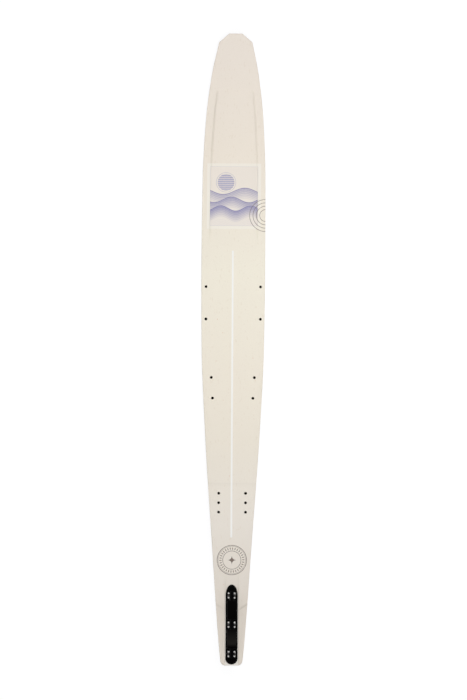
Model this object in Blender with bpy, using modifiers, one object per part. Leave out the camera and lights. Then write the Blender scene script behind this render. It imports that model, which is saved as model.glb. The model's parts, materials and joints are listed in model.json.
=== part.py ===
"""Slalom water ski, bare deck, with its adjustable fin block and fin.

Metres, +Z up. The ski lies deck up with its tip toward +Y, standing on the fin and the forebody.
Stations along the ski are distances from the tail end, in the plan view.
"""

import math

import bmesh
import bpy
from mathutils import Matrix, Vector

OBJECT_NAME = "slalom_water_ski"

# Plan view
LENGTH = 1.6986
WIDEST_AT = 1.082
WIDEST_HALF = 0.0856
AFT_OUTLINE = ((0.0, 0.0284), (0.050, 0.0336), (0.337, 0.0540), (0.617, 0.0728), (0.862, 0.0837))
FORE_OUTLINE_FROM_TIP = ((0.392, 0.0844), (0.232, 0.0772), (0.112, 0.0630))
NOSE_CHAMFER_LENGTH = 0.0234
NOSE_CORNER_HALF = 0.0448
NOSE_END_HALF = 0.0175
TAIL_CORNER_RADIUS = 0.012

# Side view: base rocker, and the three flat facets of the deck behind the forebody
LOWEST_AT = 0.800
TAIL_ROCKER = 0.026
TIP_ROCKER = 0.072
TIP_ROCKER_POWER = 2.2
MID_THICKNESS = 0.024
TIP_THICKNESS = 0.011
DECK_FLAT_FROM = 0.4916
DECK_FLAT_TO = 1.0416
REAR_FACET_RISE = 0.004
TAIL_FACET_RISE = 0.010

# Cross section
DECK_BEVEL = 0.0015
BASE_BEVEL_WIDTH = 0.004
BASE_BEVEL_HEIGHT = 0.003
BASE_RAIL_WIDTH = 0.0145
TUNNEL_DEPTHS_FROM_TAIL = ((0.0, 0.002), (0.250, 0.002), (0.700, 0.005), (1.150, 0.005))
TUNNEL_DEPTH_AT_TIP = 0.001

# Raised rails of the forebody, with the deck between them sunk
RAIL_INSET = 0.0201
RAIL_WALL_WIDTH = 0.0030
FOREBODY_RECESS = 0.0020
RECESS_FROM = 1.0756
RECESS_FULL_FROM = 1.1296
RECESS_TO_FROM_TIP = 0.147
RECESS_RUN_OUT = 0.020

# Channel in the tail that the fin block sits in, and the fall of the deck beside it
CHANNEL_HALF = 0.0180
CHANNEL_WALL_WIDTH = 0.0006
LEAST_LAND = 0.0004
CHANNEL_DEPTH = 0.0012
CHANNEL_AHEAD_OF_BLOCK = 0.0017
CHANNEL_RUN_OUT = 0.016
TAIL_FALL = 0.0010
TAIL_FALL_FROM = 0.1656
TAIL_FALL_SWEEP = 0.016

# Laminated build
TOPSHEET = 0.0007
TOP_LAMINATE = 0.0008
BASE_LAMINATE = 0.0008
BASE_SHEET = 0.0009
LAYER_GAP = 0.0003
SIDEWALL = 0.005
NOSE_BLOCK_LENGTH = 0.030
TAIL_BLOCK_LENGTH = 0.009
STATION_SPACING = 0.085
LEAST_STATION_GAP = 0.017

# Threaded binding inserts: each row is a station and its inserts' distance in from the ski's edge
FRONT_ROWS = ((0.9316, 0.01122), (1.0186, 0.01201))
MID_ROWS = ((0.7191, 0.02400), (0.7746, 0.02307))
REAR_ROW_AT = 0.4379
REAR_ROW_PITCH = 0.0254
REAR_ROW_INSET = 0.02492
INSERT_RADIUS = 0.00475
INSERT_BODY_RADIUS = 0.0062
INSERT_BORE_RADIUS = 0.0026
INSERT_LENGTH = 0.0120
INSERT_FLOOR = 0.0015
DECK_HOLE_RADIUS = 0.0031
PLATE_THICKNESS = 0.0030
PLATE_MARGIN_ACROSS = 0.0080
PLATE_MARGIN_ALONG = 0.0140
PLATE_EDGE = 0.0015

# Fin block: a flange with a central ridge and two clamping bosses
BLOCK_BEHIND_RIDGE = 0.01675
BLOCK_AHEAD_OF_RIDGE = 0.01805
BLOCK_HALF = 0.0161
BLOCK_FRONT_ARCH = 0.029
FLANGE_THICKNESS = 0.0022
BOSS_HALF = 0.0125
BOSS_LENGTH = 0.051
BOSS_HEIGHT = 0.0125
BOSS_CORNER_RADIUS = 0.003
RIDGE_HALF = 0.0040
RIDGE_END_WALL = 0.0037
RIDGE_BELOW_BOSSES = 0.0005
RIDGE_CORNER_RADIUS = 0.0015
SLOT_COLUMN_HALF = 0.00825
SLOT_ROW_PITCH = 0.0787
SLOT_SIDE_CLEARANCE = 0.00035
SLOT_END_CLEARANCE = 0.00075
SLIDE_TRAVEL = 0.006

# Screws and inserts that hold the fin block
BLOCK_SCREW_SHANK_RADIUS = 0.0019
BLOCK_SCREW_HEAD_RADIUS = 0.0039
BLOCK_SCREW_HEAD = 0.0024
BLOCK_SCREW_RIM = 0.0006
BLOCK_SCREW_CROWN_RADIUS = 0.0025
BLOCK_SCREW_CROWN = 0.0004
BLOCK_SCREW_SOCKET_RADIUS = 0.0015
BLOCK_SCREW_SOCKET = 0.0014
FIN_INSERT_RADIUS = 0.0035
FIN_INSERT_LENGTH = 0.0050
FIN_INSERT_FLOOR = 0.0005
FIN_PLATE_THICKNESS = 0.0020
FIN_PLATE_HALF = 0.0164
FIN_PLATE_MARGIN = 0.003
FIN_PLATE_AHEAD_OF_TAIL_BLOCK = 0.00305

# Fin, measured from the block's seat and the block's middle
FIN_THICKNESS = 0.0016
FIN_LENGTH = 0.172
FIN_DEPTH = 0.063
FIN_TAB_TOP = 0.0085
FIN_DEPTH_TRAVEL = 0.0015
FIN_SIDE_CLEARANCE = 0.0003
FIN_BOTTOM_FRONT = -0.010
FIN_REAR_CORNER_RADIUS = 0.010
FIN_REAR_RAKE = 0.002
SLIT_SIDE_CLEARANCE = 0.0011
SLIT_END_CLEARANCE = 0.001
LINER_WALL = 0.0018
LINER_END_CLEARANCE = 0.0008

# Clamp bars and the set screws that press them on the fin
CLAMP_BAR_THICKNESS = 0.0030
CLAMP_BAR_LENGTH = 0.046
CLAMP_BAR_BOTTOM = 0.0032
CLAMP_BAR_TOP = 0.0098
CLAMP_SCREW_RADIUS = 0.0025
CLAMP_SCREW_SPACING = 0.026
CLAMP_SCREW_SOCKET_RADIUS = 0.00125
CLAMP_SCREW_SOCKET = 0.0025

# Holes that let a wing be screwed to the fin: a pivot hole, and an arc slot behind it
WING_HOLE_AT = -0.038
WING_HOLE_BELOW_BASE = 0.030
WING_HOLE_RADIUS = 0.0018
WING_SLOT_BEHIND = 0.016
WING_SLOT_DOWN = 12.0

CLEARANCE = 0.0003
MERGE = 0.00005
CUT_OVERRUN = 0.004
HOLE_SIDES = 12
TURNED_STEPS = 12
BLOCK_END_STEPS = 14
SLOT_END_STEPS = 6
LEADING_EDGE_STEPS = 12
FIN_CORNER_STEPS = 5
WING_SLOT_STEPS = 4
CORNER_SEGMENTS = 3
SHARP_ANGLE = 30.0
STEEPEST_REST_PITCH = 30.0
PITCH_HALVINGS = 40

MATERIALS = {
    "topsheet_cream": ((0.80, 0.76, 0.66), 0.38, 0.0),
    "glass_laminate": ((0.62, 0.64, 0.50), 0.45, 0.0),
    "foam_core": ((0.72, 0.60, 0.38), 0.80, 0.0),
    "sidewall_cream": ((0.80, 0.76, 0.69), 0.40, 0.0),
    "base_lavender": ((0.46, 0.45, 0.57), 0.30, 0.0),
    "insert_brass": ((0.55, 0.42, 0.20), 0.40, 1.0),
    "plate_phenolic": ((0.20, 0.10, 0.05), 0.60, 0.0),
    "liner_black": ((0.03, 0.03, 0.03), 0.50, 0.0),
    "anodised_black": ((0.012, 0.012, 0.013), 0.35, 1.0),
    "screw_steel": ((0.30, 0.30, 0.31), 0.30, 1.0),
    "fin_aluminium": ((0.62, 0.63, 0.65), 0.32, 1.0),
}


def smooth_curve(points, at):
    """Value at a station of a curve through (station, value) points, with no overshoot between them."""
    steps = [b[0] - a[0] for a, b in zip(points, points[1:])]
    slopes = [(b[1] - a[1]) / step for a, b, step in zip(points, points[1:], steps)]
    tangents = [slopes[0]]
    for before, after in zip(slopes, slopes[1:]):
        same_way = before * after > 0
        tangents.append(2 * before * after / (before + after) if same_way else 0.0)
    tangents.append(slopes[-1])
    at = min(max(at, points[0][0]), points[-1][0])
    i = 0
    while i < len(steps) - 1 and at > points[i + 1][0]:
        i += 1
    t = (at - points[i][0]) / steps[i]
    rise = points[i + 1][1] - points[i][1]
    blend = t * t * (3 - 2 * t)
    start = t * (1 - t) ** 2 * steps[i] * tangents[i]
    end = t * t * (t - 1) * steps[i] * tangents[i + 1]
    return points[i][1] + blend * rise + start + end


def ramp(value, start, end):
    """0 at start and before it, 1 at end and past it."""
    return min(max((value - start) / (end - start), 0.0), 1.0)


def outline_points():
    fore = [(LENGTH - back, half) for back, half in FORE_OUTLINE_FROM_TIP]
    corner = (LENGTH - NOSE_CHAMFER_LENGTH, NOSE_CORNER_HALF)
    return [*AFT_OUTLINE, (WIDEST_AT, WIDEST_HALF), *fore, corner]


def half_width(s):
    corner_at = LENGTH - NOSE_CHAMFER_LENGTH
    if s > corner_at:
        share = (s - corner_at) / NOSE_CHAMFER_LENGTH
        return NOSE_CORNER_HALF + share * (NOSE_END_HALF - NOSE_CORNER_HALF)
    half = smooth_curve(outline_points(), s)
    if s < TAIL_CORNER_RADIUS:
        short = TAIL_CORNER_RADIUS - s
        half += math.sqrt(TAIL_CORNER_RADIUS**2 - short**2) - TAIL_CORNER_RADIUS
    return half


def base_z(s):
    if s < LOWEST_AT:
        return TAIL_ROCKER * ((LOWEST_AT - s) / LOWEST_AT) ** 2
    return TIP_ROCKER * ((s - LOWEST_AT) / (LENGTH - LOWEST_AT)) ** TIP_ROCKER_POWER


def forebody_thickness(s):
    """Runs from the end of the flat deck to the tip, leaving the flat deck with no kink."""
    run = LENGTH - DECK_FLAT_TO
    at_flat = MID_THICKNESS - base_z(DECK_FLAT_TO)
    base_slope = TIP_ROCKER_POWER * base_z(DECK_FLAT_TO) / (DECK_FLAT_TO - LOWEST_AT)
    power = base_slope * run / (at_flat - TIP_THICKNESS)
    return TIP_THICKNESS + (at_flat - TIP_THICKNESS) * (1 - (s - DECK_FLAT_TO) / run) ** power


def deck_z(s):
    if s > DECK_FLAT_TO:
        return base_z(s) + forebody_thickness(s)
    rear = REAR_FACET_RISE * ramp(s, DECK_FLAT_FROM, tail_facet_at())
    tail = TAIL_FACET_RISE * ramp(s, tail_facet_at(), 0.0)
    return MID_THICKNESS + rear + tail


def slit_half_length():
    return FIN_LENGTH / 2 + SLIDE_TRAVEL + SLIT_END_CLEARANCE


def fin_plate_half_length():
    return slit_half_length() + LINER_WALL + FIN_PLATE_MARGIN


def ridge_half_length():
    return FIN_LENGTH / 2 + CLEARANCE + RIDGE_END_WALL


def block_ends():
    """The fin block's rear and front ends, from its middle."""
    ridge = ridge_half_length()
    return -ridge - BLOCK_BEHIND_RIDGE, ridge + BLOCK_AHEAD_OF_RIDGE


def block_middle():
    """Station of the fin block's middle, with the plate below it just ahead of the tail block."""
    return TAIL_BLOCK_LENGTH + FIN_PLATE_AHEAD_OF_TAIL_BLOCK + fin_plate_half_length()


def tail_facet_at():
    """Station where the tail's deck facet starts, and the channel that the fin block slides in."""
    block_front = block_middle() + block_ends()[1] + SLIDE_TRAVEL
    return block_front + CHANNEL_AHEAD_OF_BLOCK + CHANNEL_RUN_OUT


def recess_depth(s):
    recess_to = LENGTH - RECESS_TO_FROM_TIP
    fore = ramp(s, RECESS_FROM, RECESS_FULL_FROM) * ramp(s, recess_to, recess_to - RECESS_RUN_OUT)
    channel = ramp(s, tail_facet_at(), tail_facet_at() - CHANNEL_RUN_OUT)
    return FOREBODY_RECESS * fore + CHANNEL_DEPTH * channel


def wall_top(s):
    """Half-distance between the channel's lips at the tail, and between the rails at the forebody."""
    recess_to = LENGTH - RECESS_TO_FROM_TIP
    if s > recess_to:
        return half_width(s) * (1 - RAIL_INSET / half_width(recess_to))
    rails = half_width(s) - RAIL_INSET
    share = ramp(s, tail_facet_at(), RECESS_FROM)
    edge = half_width(s) - DECK_BEVEL
    return min(CHANNEL_HALF * (1 - share) + rails * share, edge - LEAST_LAND)


def wall_bottom(s):
    share = ramp(s, tail_facet_at(), RECESS_FROM)
    return wall_top(s) - CHANNEL_WALL_WIDTH * (1 - share) - RAIL_WALL_WIDTH * share


def deck_section(s):
    """The right half of the deck's cross section, from the middle out, as (x, z) points."""
    half = half_width(s)
    edge = half - DECK_BEVEL
    top = deck_z(s)
    sunk = top - recess_depth(s)
    fall = TAIL_FALL * ramp(s, TAIL_FALL_FROM, TAIL_FALL_FROM - TAIL_FALL_SWEEP)
    return [
        (0.0, sunk),
        (wall_bottom(s), sunk),
        (wall_top(s), top),
        (edge, top - fall),
        (half, top - fall - DECK_BEVEL),
    ]


def base_section(s):
    """The right half of the base's cross section: a shallow tunnel, a flat rail and a bevel."""
    half = half_width(s)
    tunnel_half = half - BASE_RAIL_WIDTH
    depth = smooth_curve([*TUNNEL_DEPTHS_FROM_TAIL, (LENGTH, TUNNEL_DEPTH_AT_TIP)], s)
    bottom = base_z(s)
    tunnel = [(share * tunnel_half, bottom + depth * (1 - share**2)) for share in (0.0, 0.5, 1.0)]
    return [
        *tunnel,
        (half - BASE_BEVEL_WIDTH, bottom),
        (half, bottom + BASE_BEVEL_HEIGHT),
    ]


def height_in(section, x):
    """Height of a cross section at a distance from the middle."""
    x = min(abs(x), section[-1][0])
    i = 0
    while i < len(section) - 2 and x > section[i + 1][0]:
        i += 1
    (x0, z0), (x1, z1) = section[i], section[i + 1]
    return z0 + (z1 - z0) * (x - x0) / (x1 - x0)


def deck_height(s, x):
    return height_in(deck_section(s), x)


def base_height(s, x):
    return height_in(base_section(s), x)


def filling_bounds():
    """Where the core and the sidewalls start and end, between the tail block and the nose block."""
    return TAIL_BLOCK_LENGTH + LAYER_GAP, LENGTH - NOSE_BLOCK_LENGTH - LAYER_GAP


def all_stations():
    """Stations that every layer shares: each place where the shape turns, and even steps between."""
    recess_to = LENGTH - RECESS_TO_FROM_TIP
    corner = [TAIL_CORNER_RADIUS * (1 - math.cos(math.radians(a))) for a in (0, 30, 55, 90)]
    features = [
        *corner,
        TAIL_BLOCK_LENGTH,
        *filling_bounds(),
        LENGTH - NOSE_BLOCK_LENGTH,
        TAIL_FALL_FROM - TAIL_FALL_SWEEP,
        TAIL_FALL_FROM,
        tail_facet_at() - CHANNEL_RUN_OUT,
        tail_facet_at(),
        DECK_FLAT_FROM,
        DECK_FLAT_TO,
        RECESS_FROM,
        RECESS_FULL_FROM,
        recess_to - RECESS_RUN_OUT,
        recess_to,
        (recess_to + LENGTH - NOSE_CHAMFER_LENGTH) / 2,
        LENGTH - NOSE_CHAMFER_LENGTH,
        LENGTH,
    ]
    count = round(LENGTH / STATION_SPACING)
    even = [LENGTH * i / count for i in range(count + 1)]
    between = [s for s in even if min(abs(s - turn_at) for turn_at in features) > LEAST_STATION_GAP]
    return sorted(features + between)


def stations(start, end):
    return [start] + [s for s in all_stations() if start + MERGE < s < end - MERGE] + [end]


def along(s):
    """Distance forward of the ski's middle."""
    return s - LENGTH / 2


def parts_collection():
    return bpy.data.collections[OBJECT_NAME]


def material(name):
    if name not in bpy.data.materials:
        colour, roughness, metallic = MATERIALS[name]
        made = bpy.data.materials.new(name)
        made.use_nodes = True
        shader = made.node_tree.nodes["Principled BSDF"]
        shader.inputs["Base Color"].default_value = (*colour, 1.0)
        shader.inputs["Roughness"].default_value = roughness
        shader.inputs["Metallic"].default_value = metallic
    return bpy.data.materials[name]


def add_part(name, mesh, material_name, parent):
    obj = bpy.data.objects.new(name, mesh)
    parts_collection().objects.link(obj)
    obj.parent = parent
    if not mesh.materials:
        mesh.materials.append(material(material_name))
    return obj


def add_empty(name, parent, location=(0, 0, 0), pitch=0.0):
    empty = bpy.data.objects.new(name, None)
    parts_collection().objects.link(empty)
    empty.empty_display_size = 0.02
    empty.parent = parent
    empty.location = location
    empty.rotation_euler.x = pitch
    return empty


def mesh_from(bm, name):
    bmesh.ops.recalc_face_normals(bm, faces=bm.faces)
    mesh = bpy.data.meshes.new(name)
    bm.to_mesh(mesh)
    bm.free()
    return mesh


def loft(name, rings):
    """A closed skin over rings of points that all have the same count, capped at both ends.

    Each cell between two rings is split from its inner corner to the next ring's outer corner, so
    that layers over each other keep an even gap.
    """
    bm = bmesh.new()
    rows = [[bm.verts.new(point) for point in ring] for ring in rings]
    count = len(rows[0])
    for row, following in zip(rows, rows[1:]):
        for i in range(count):
            j = (i + 1) % count
            if abs(row[i].co.x) > abs(row[j].co.x):
                bm.faces.new((row[i], row[j], following[i]))
                bm.faces.new((row[j], following[j], following[i]))
            else:
                bm.faces.new((row[i], row[j], following[j]))
                bm.faces.new((row[i], following[j], following[i]))
    bm.faces.new(rows[0])
    bm.faces.new(rows[-1])
    return mesh_from(bm, name)


def box_mesh(name, low, high):
    bm = bmesh.new()
    add_box(bm, low, high)
    return mesh_from(bm, name)


def add_box(bm, low, high):
    size = [b - a for a, b in zip(low, high)]
    middle = [(a + b) / 2 for a, b in zip(low, high)]
    place = Matrix.Translation(middle) @ Matrix.Diagonal((*size, 1.0))
    bmesh.ops.create_cube(bm, size=1.0, matrix=place)


def add_cylinder(bm, radius, start, end):
    """A cylinder between the middles of its two ends."""
    span = Vector(end) - Vector(start)
    turned = Vector((0, 0, 1)).rotation_difference(span).to_matrix().to_4x4()
    bmesh.ops.create_cone(
        bm,
        cap_ends=True,
        segments=HOLE_SIDES,
        radius1=radius,
        radius2=radius,
        depth=span.length,
        matrix=Matrix.Translation((Vector(start) + Vector(end)) / 2) @ turned,
    )


def rounded_box_mesh(name, low, high, radius):
    """A box whose upright edges are rounded."""
    bm = bmesh.new()
    add_box(bm, low, high)
    upright = [e for e in bm.edges if abs(e.verts[0].co.z - e.verts[1].co.z) > MERGE]
    bmesh.ops.bevel(bm, geom=upright, offset=radius, segments=CORNER_SEGMENTS, profile=0.5, affect="EDGES")
    return mesh_from(bm, name)


def flat_outline(name, splines, thickness):
    """A plate whose outline, and holes, are closed lists of (x, y) points, centred on its plane."""
    curve = bpy.data.curves.new(name, "CURVE")
    curve.dimensions = "2D"
    curve.fill_mode = "BOTH"
    curve.extrude = thickness / 2
    for points in splines:
        spline = curve.splines.new("POLY")
        spline.points.add(len(points) - 1)
        for target, (x, y) in zip(spline.points, points):
            target.co = (x, y, 0.0, 1.0)
        spline.use_cyclic_u = True
    guide = bpy.data.objects.new(name, curve)
    bpy.context.scene.collection.objects.link(guide)
    graph = bpy.context.evaluated_depsgraph_get()
    mesh = bpy.data.meshes.new_from_object(guide.evaluated_get(graph))
    bpy.data.objects.remove(guide)
    bm = bmesh.new()
    bm.from_mesh(mesh)
    bmesh.ops.remove_doubles(bm, verts=bm.verts, dist=MERGE)
    bmesh.ops.recalc_face_normals(bm, faces=bm.faces)
    bm.to_mesh(mesh)
    bm.free()
    return mesh


def arc(middle, radii, start, end, count):
    """Points of an elliptical arc, angles in degrees."""
    points = []
    for i in range(count + 1):
        angle = math.radians(start + (end - start) * i / count)
        x = middle[0] + radii[0] * math.cos(angle)
        points.append((x, middle[1] + radii[1] * math.sin(angle)))
    return points


def turned_mesh(name, profile):
    """The open profile, in (radius, height), of a turned piece."""
    mesh = bpy.data.meshes.new(name)
    edges = [(i, i + 1) for i in range(len(profile) - 1)]
    mesh.from_pydata([(radius, 0.0, height) for radius, height in profile], edges, [])
    return mesh


def turn(obj):
    screw = obj.modifiers.new("turned", "SCREW")
    screw.axis = "Z"
    screw.angle = math.tau
    screw.steps = TURNED_STEPS
    screw.render_steps = TURNED_STEPS
    screw.use_merge_vertices = True
    screw.merge_threshold = MERGE
    screw.use_smooth_shade = True


def add_cutter(name, mesh, parent):
    cutter = bpy.data.objects.new(name, mesh)
    bpy.data.collections[OBJECT_NAME + "_cutters"].objects.link(cutter)
    cutter.parent = parent
    cutter.hide_render = True
    cutter.display_type = "WIRE"
    return cutter


def cut(obj, cutter, operation="DIFFERENCE"):
    boolean = obj.modifiers.new(cutter.name, "BOOLEAN")
    boolean.operation = operation
    boolean.solver = "EXACT"
    boolean.object = cutter


# Depths of the layers below the deck and above the base
UNDER_TOPSHEET = TOPSHEET + LAYER_GAP
UNDER_TOP_LAMINATE = UNDER_TOPSHEET + TOP_LAMINATE + LAYER_GAP
OVER_BASE_SHEET = BASE_SHEET + LAYER_GAP
OVER_BASE_LAMINATE = OVER_BASE_SHEET + BASE_LAMINATE + LAYER_GAP


def across(section, half):
    """Places across the ski at which a cross section turns, as far out as half, left to right."""
    right = [x for x, _ in section if x < half - MERGE] + [half]
    return [-x for x in right[:0:-1]] + right


def deck_layer_ring(s, top, thickness):
    xs = across(deck_section(s), half_width(s))
    upper = [Vector((x, along(s), deck_height(s, x) - top)) for x in xs]
    lower = [point - Vector((0, 0, thickness)) for point in upper]
    return upper + lower[::-1]


def base_layer_ring(s, bottom, thickness):
    xs = across(base_section(s), half_width(s))
    lower = [Vector((x, along(s), base_height(s, x) + bottom)) for x in xs]
    upper = [point + Vector((0, 0, thickness)) for point in lower]
    return lower + upper[::-1]


def filling_ring(s, half):
    """Cross section of what fills the space between the two laminates, as wide as asked."""
    upper_xs = across(deck_section(s), half)
    lower_xs = across(base_section(s), half)
    upper = [Vector((x, along(s), deck_height(s, x) - UNDER_TOP_LAMINATE)) for x in upper_xs]
    lower = [Vector((x, along(s), base_height(s, x) + OVER_BASE_LAMINATE)) for x in lower_xs]
    return upper + lower[::-1]


def sidewall_ring(s, side):
    half = half_width(s)
    upper = [half - SIDEWALL, half - DECK_BEVEL, half]
    lower = [half - SIDEWALL, half - BASE_BEVEL_WIDTH, half]
    top = [Vector((side * x, along(s), deck_height(s, x) - UNDER_TOP_LAMINATE)) for x in upper]
    bottom = [Vector((side * x, along(s), base_height(s, x) + OVER_BASE_LAMINATE)) for x in lower]
    return top + bottom[::-1]


def core_half(s):
    return half_width(s) - SIDEWALL - LAYER_GAP


def build_ski_body(ski):
    whole = stations(0.0, LENGTH)
    start, end = filling_bounds()
    inner = stations(start, end)
    body = {}

    def lofted(name, rings, material_name):
        body[name] = add_part(name, loft(name, rings), material_name, ski)

    lofted("topsheet", [deck_layer_ring(s, 0.0, TOPSHEET) for s in whole], "topsheet_cream")
    laminate = [deck_layer_ring(s, UNDER_TOPSHEET, TOP_LAMINATE) for s in whole]
    lofted("top_laminate", laminate, "glass_laminate")
    lofted("core", [filling_ring(s, core_half(s)) for s in inner], "foam_core")
    laminate = [base_layer_ring(s, OVER_BASE_SHEET, BASE_LAMINATE) for s in whole]
    lofted("base_laminate", laminate, "glass_laminate")
    lofted("base_sheet", [base_layer_ring(s, 0.0, BASE_SHEET) for s in whole], "base_lavender")
    lofted("sidewall_left", [sidewall_ring(s, -1) for s in inner], "sidewall_cream")
    lofted("sidewall_right", [sidewall_ring(s, 1) for s in inner], "sidewall_cream")
    tail = stations(0.0, TAIL_BLOCK_LENGTH)
    lofted("tail_block", [filling_ring(s, half_width(s)) for s in tail], "sidewall_cream")
    nose = stations(LENGTH - NOSE_BLOCK_LENGTH, LENGTH)
    lofted("nose_block", [filling_ring(s, half_width(s)) for s in nose], "sidewall_cream")
    return body


def facet_pitch(s):
    """Pitch of the flat deck facet that holds a station, positive with the front up."""
    if s > DECK_FLAT_FROM:
        return 0.0
    if s > tail_facet_at():
        return -math.atan2(REAR_FACET_RISE, DECK_FLAT_FROM - tail_facet_at())
    return -math.atan2(TAIL_FACET_RISE, tail_facet_at())


def add_seat(name, ski, s, depth=0.0):
    """An empty on the deck at a station of the centreline, with its Z square to the deck there."""
    return add_empty(name, ski, (0.0, along(s), deck_z(s) - depth), facet_pitch(s))


def row_places(rows, seat_at, pitch):
    """Places of a group's inserts in its seat's own frame."""
    stretch = 1 / math.cos(pitch)
    return [(side * half, (s - seat_at) * stretch) for s, half in rows for side in (-1, 1)]


def inset_rows(rows):
    """Rows of inserts as (station, half the spacing across the ski)."""
    return [(s, half_width(s) - inset) for s, inset in rows]


def rear_rows():
    """Three rows with one spacing across, taken at the middle row."""
    half = half_width(REAR_ROW_AT) - REAR_ROW_INSET
    return [(REAR_ROW_AT + i * REAR_ROW_PITCH, half) for i in (-1, 0, 1)]


def cylinders(name, places, radius, low, high):
    bm = bmesh.new()
    for x, y in places:
        add_cylinder(bm, radius, (x, y, low), (x, y, high))
    return mesh_from(bm, name)


def insert_profile():
    """A neck through the top laminate and the plate, and a wider body below the plate."""
    shoulder = -(PLATE_THICKNESS + UNDER_TOP_LAMINATE - UNDER_TOPSHEET + CLEARANCE)
    return [
        (0.0, INSERT_FLOOR - INSERT_LENGTH),
        (INSERT_BORE_RADIUS, INSERT_FLOOR - INSERT_LENGTH),
        (INSERT_BORE_RADIUS, 0.0),
        (INSERT_RADIUS, 0.0),
        (INSERT_RADIUS, shoulder),
        (INSERT_BODY_RADIUS, shoulder),
        (INSERT_BODY_RADIUS, -INSERT_LENGTH),
        (0.0, -INSERT_LENGTH),
    ]


def build_binding_group(group, rows, ski, body, insert_mesh):
    """One binding's threaded inserts and the plate that holds them, with the holes they need."""
    middle = sum(s for s, _ in rows) / len(rows)
    seat = add_seat(group + "_binding_seat", ski, middle)
    pitch = facet_pitch(middle)
    places = row_places(rows, middle, pitch)
    holes = cylinders(group + "_deck_holes", places, DECK_HOLE_RADIUS, -UNDER_TOPSHEET, CUT_OVERRUN)
    cut(body["topsheet"], add_cutter(group + "_deck_holes", holes, seat))
    plate_top = -UNDER_TOP_LAMINATE
    plate_bottom = plate_top - PLATE_THICKNESS
    neck_end = plate_bottom - CUT_OVERRUN
    neck_room = INSERT_RADIUS + CLEARANCE
    necks = cylinders(group + "_necks", places, neck_room, neck_end, -TOPSHEET / 2)
    neck_cutter = add_cutter(group + "_necks", necks, seat)
    cut(body["top_laminate"], neck_cutter)
    half = max(x for x, _ in places) + PLATE_MARGIN_ACROSS
    half = min(half, core_half(rows[0][0]) - PLATE_EDGE)
    reach = max(y for _, y in places) + PLATE_MARGIN_ALONG
    low = (-half, -reach, plate_bottom)
    high = (half, reach, plate_top)
    plate = add_part(group + "_insert_plate", box_mesh("plate", low, high), "plate_phenolic", seat)
    cut(plate, neck_cutter)
    pocket_low = [value - CLEARANCE for value in low]
    pocket_high = (high[0] + CLEARANCE, high[1] + CLEARANCE, CUT_OVERRUN)
    pocket = box_mesh(group + "_plate_pocket", pocket_low, pocket_high)
    cut(body["core"], add_cutter(group + "_plate_pocket", pocket, seat))
    wells_end = -(UNDER_TOPSHEET + INSERT_LENGTH + CLEARANCE)
    wells = cylinders(group + "_wells", places, INSERT_BODY_RADIUS + CLEARANCE, wells_end, plate_top)
    cut(body["core"], add_cutter(group + "_wells", wells, seat))
    for number, (x, y) in enumerate(places, start=1):
        name = f"{group}_binding_insert_{number}"
        insert = add_part(name, insert_mesh, "insert_brass", seat)
        insert.location = (x, y, -UNDER_TOPSHEET)
        turn(insert)


def slot_places():
    """Middles of the fin block's six slots, in the block's own frame."""
    rows = [i * SLOT_ROW_PITCH for i in (-1, 0, 1)]
    return [(side * SLOT_COLUMN_HALF, y) for y in rows for side in (-1, 1)]


def boss_places():
    return [SLOT_ROW_PITCH / 2, -SLOT_ROW_PITCH / 2]


def clamp_screw_places():
    return [y + side * CLAMP_SCREW_SPACING / 2 for y in boss_places() for side in (1, -1)]


def clamp_screw_z():
    return (CLAMP_BAR_BOTTOM + CLAMP_BAR_TOP) / 2


def clamp_bar_span():
    """Inner and outer face of a clamp bar, across the ski."""
    inner = FIN_THICKNESS / 2 + FIN_SIDE_CLEARANCE
    return inner, inner + CLAMP_BAR_THICKNESS


def slot_half_width():
    return BLOCK_SCREW_SHANK_RADIUS + SLOT_SIDE_CLEARANCE


def slit_half_width():
    return FIN_THICKNESS / 2 + SLIT_SIDE_CLEARANCE


def build_slit_liner(ski, body, seat):
    """The slit that the fin hangs in, and its liner. Returns the liner's room as a cutter."""
    middle = block_middle()
    half = slit_half_width()
    reach = slit_half_length()
    below = -(MID_THICKNESS + CUT_OVERRUN)
    slit = box_mesh("fin_slit", (-half, -reach, below), (half, reach, CUT_OVERRUN))
    slit_cutter = add_cutter("fin_slit", slit, seat)
    for name in ("topsheet", "top_laminate", "base_laminate", "base_sheet"):
        cut(body[name], slit_cutter)
    half += LINER_WALL
    reach += LINER_WALL
    rings = []
    for s in stations(middle - reach, middle + reach):
        top = deck_height(s, 0.0) - UNDER_TOP_LAMINATE
        bottom = base_height(s, 0.0) + OVER_BASE_LAMINATE
        corners = [(-half, top), (half, top), (half, bottom), (-half, bottom)]
        rings.append([Vector((x, along(s), z)) for x, z in corners])
    liner = add_part("fin_slot_liner", loft("fin_slot_liner", rings), "liner_black", ski)
    cut(liner, slit_cutter)
    half += CLEARANCE
    reach += LINER_END_CLEARANCE
    room = box_mesh("liner_room", (-half, -reach, below), (half, reach, CUT_OVERRUN))
    return add_cutter("liner_room", room, seat)


def fin_insert_profile():
    bore = BLOCK_SCREW_SHANK_RADIUS + CLEARANCE
    return [
        (0.0, FIN_INSERT_FLOOR - FIN_INSERT_LENGTH),
        (bore, FIN_INSERT_FLOOR - FIN_INSERT_LENGTH),
        (bore, 0.0),
        (FIN_INSERT_RADIUS, 0.0),
        (FIN_INSERT_RADIUS, -FIN_INSERT_LENGTH),
        (0.0, -FIN_INSERT_LENGTH),
    ]


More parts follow.
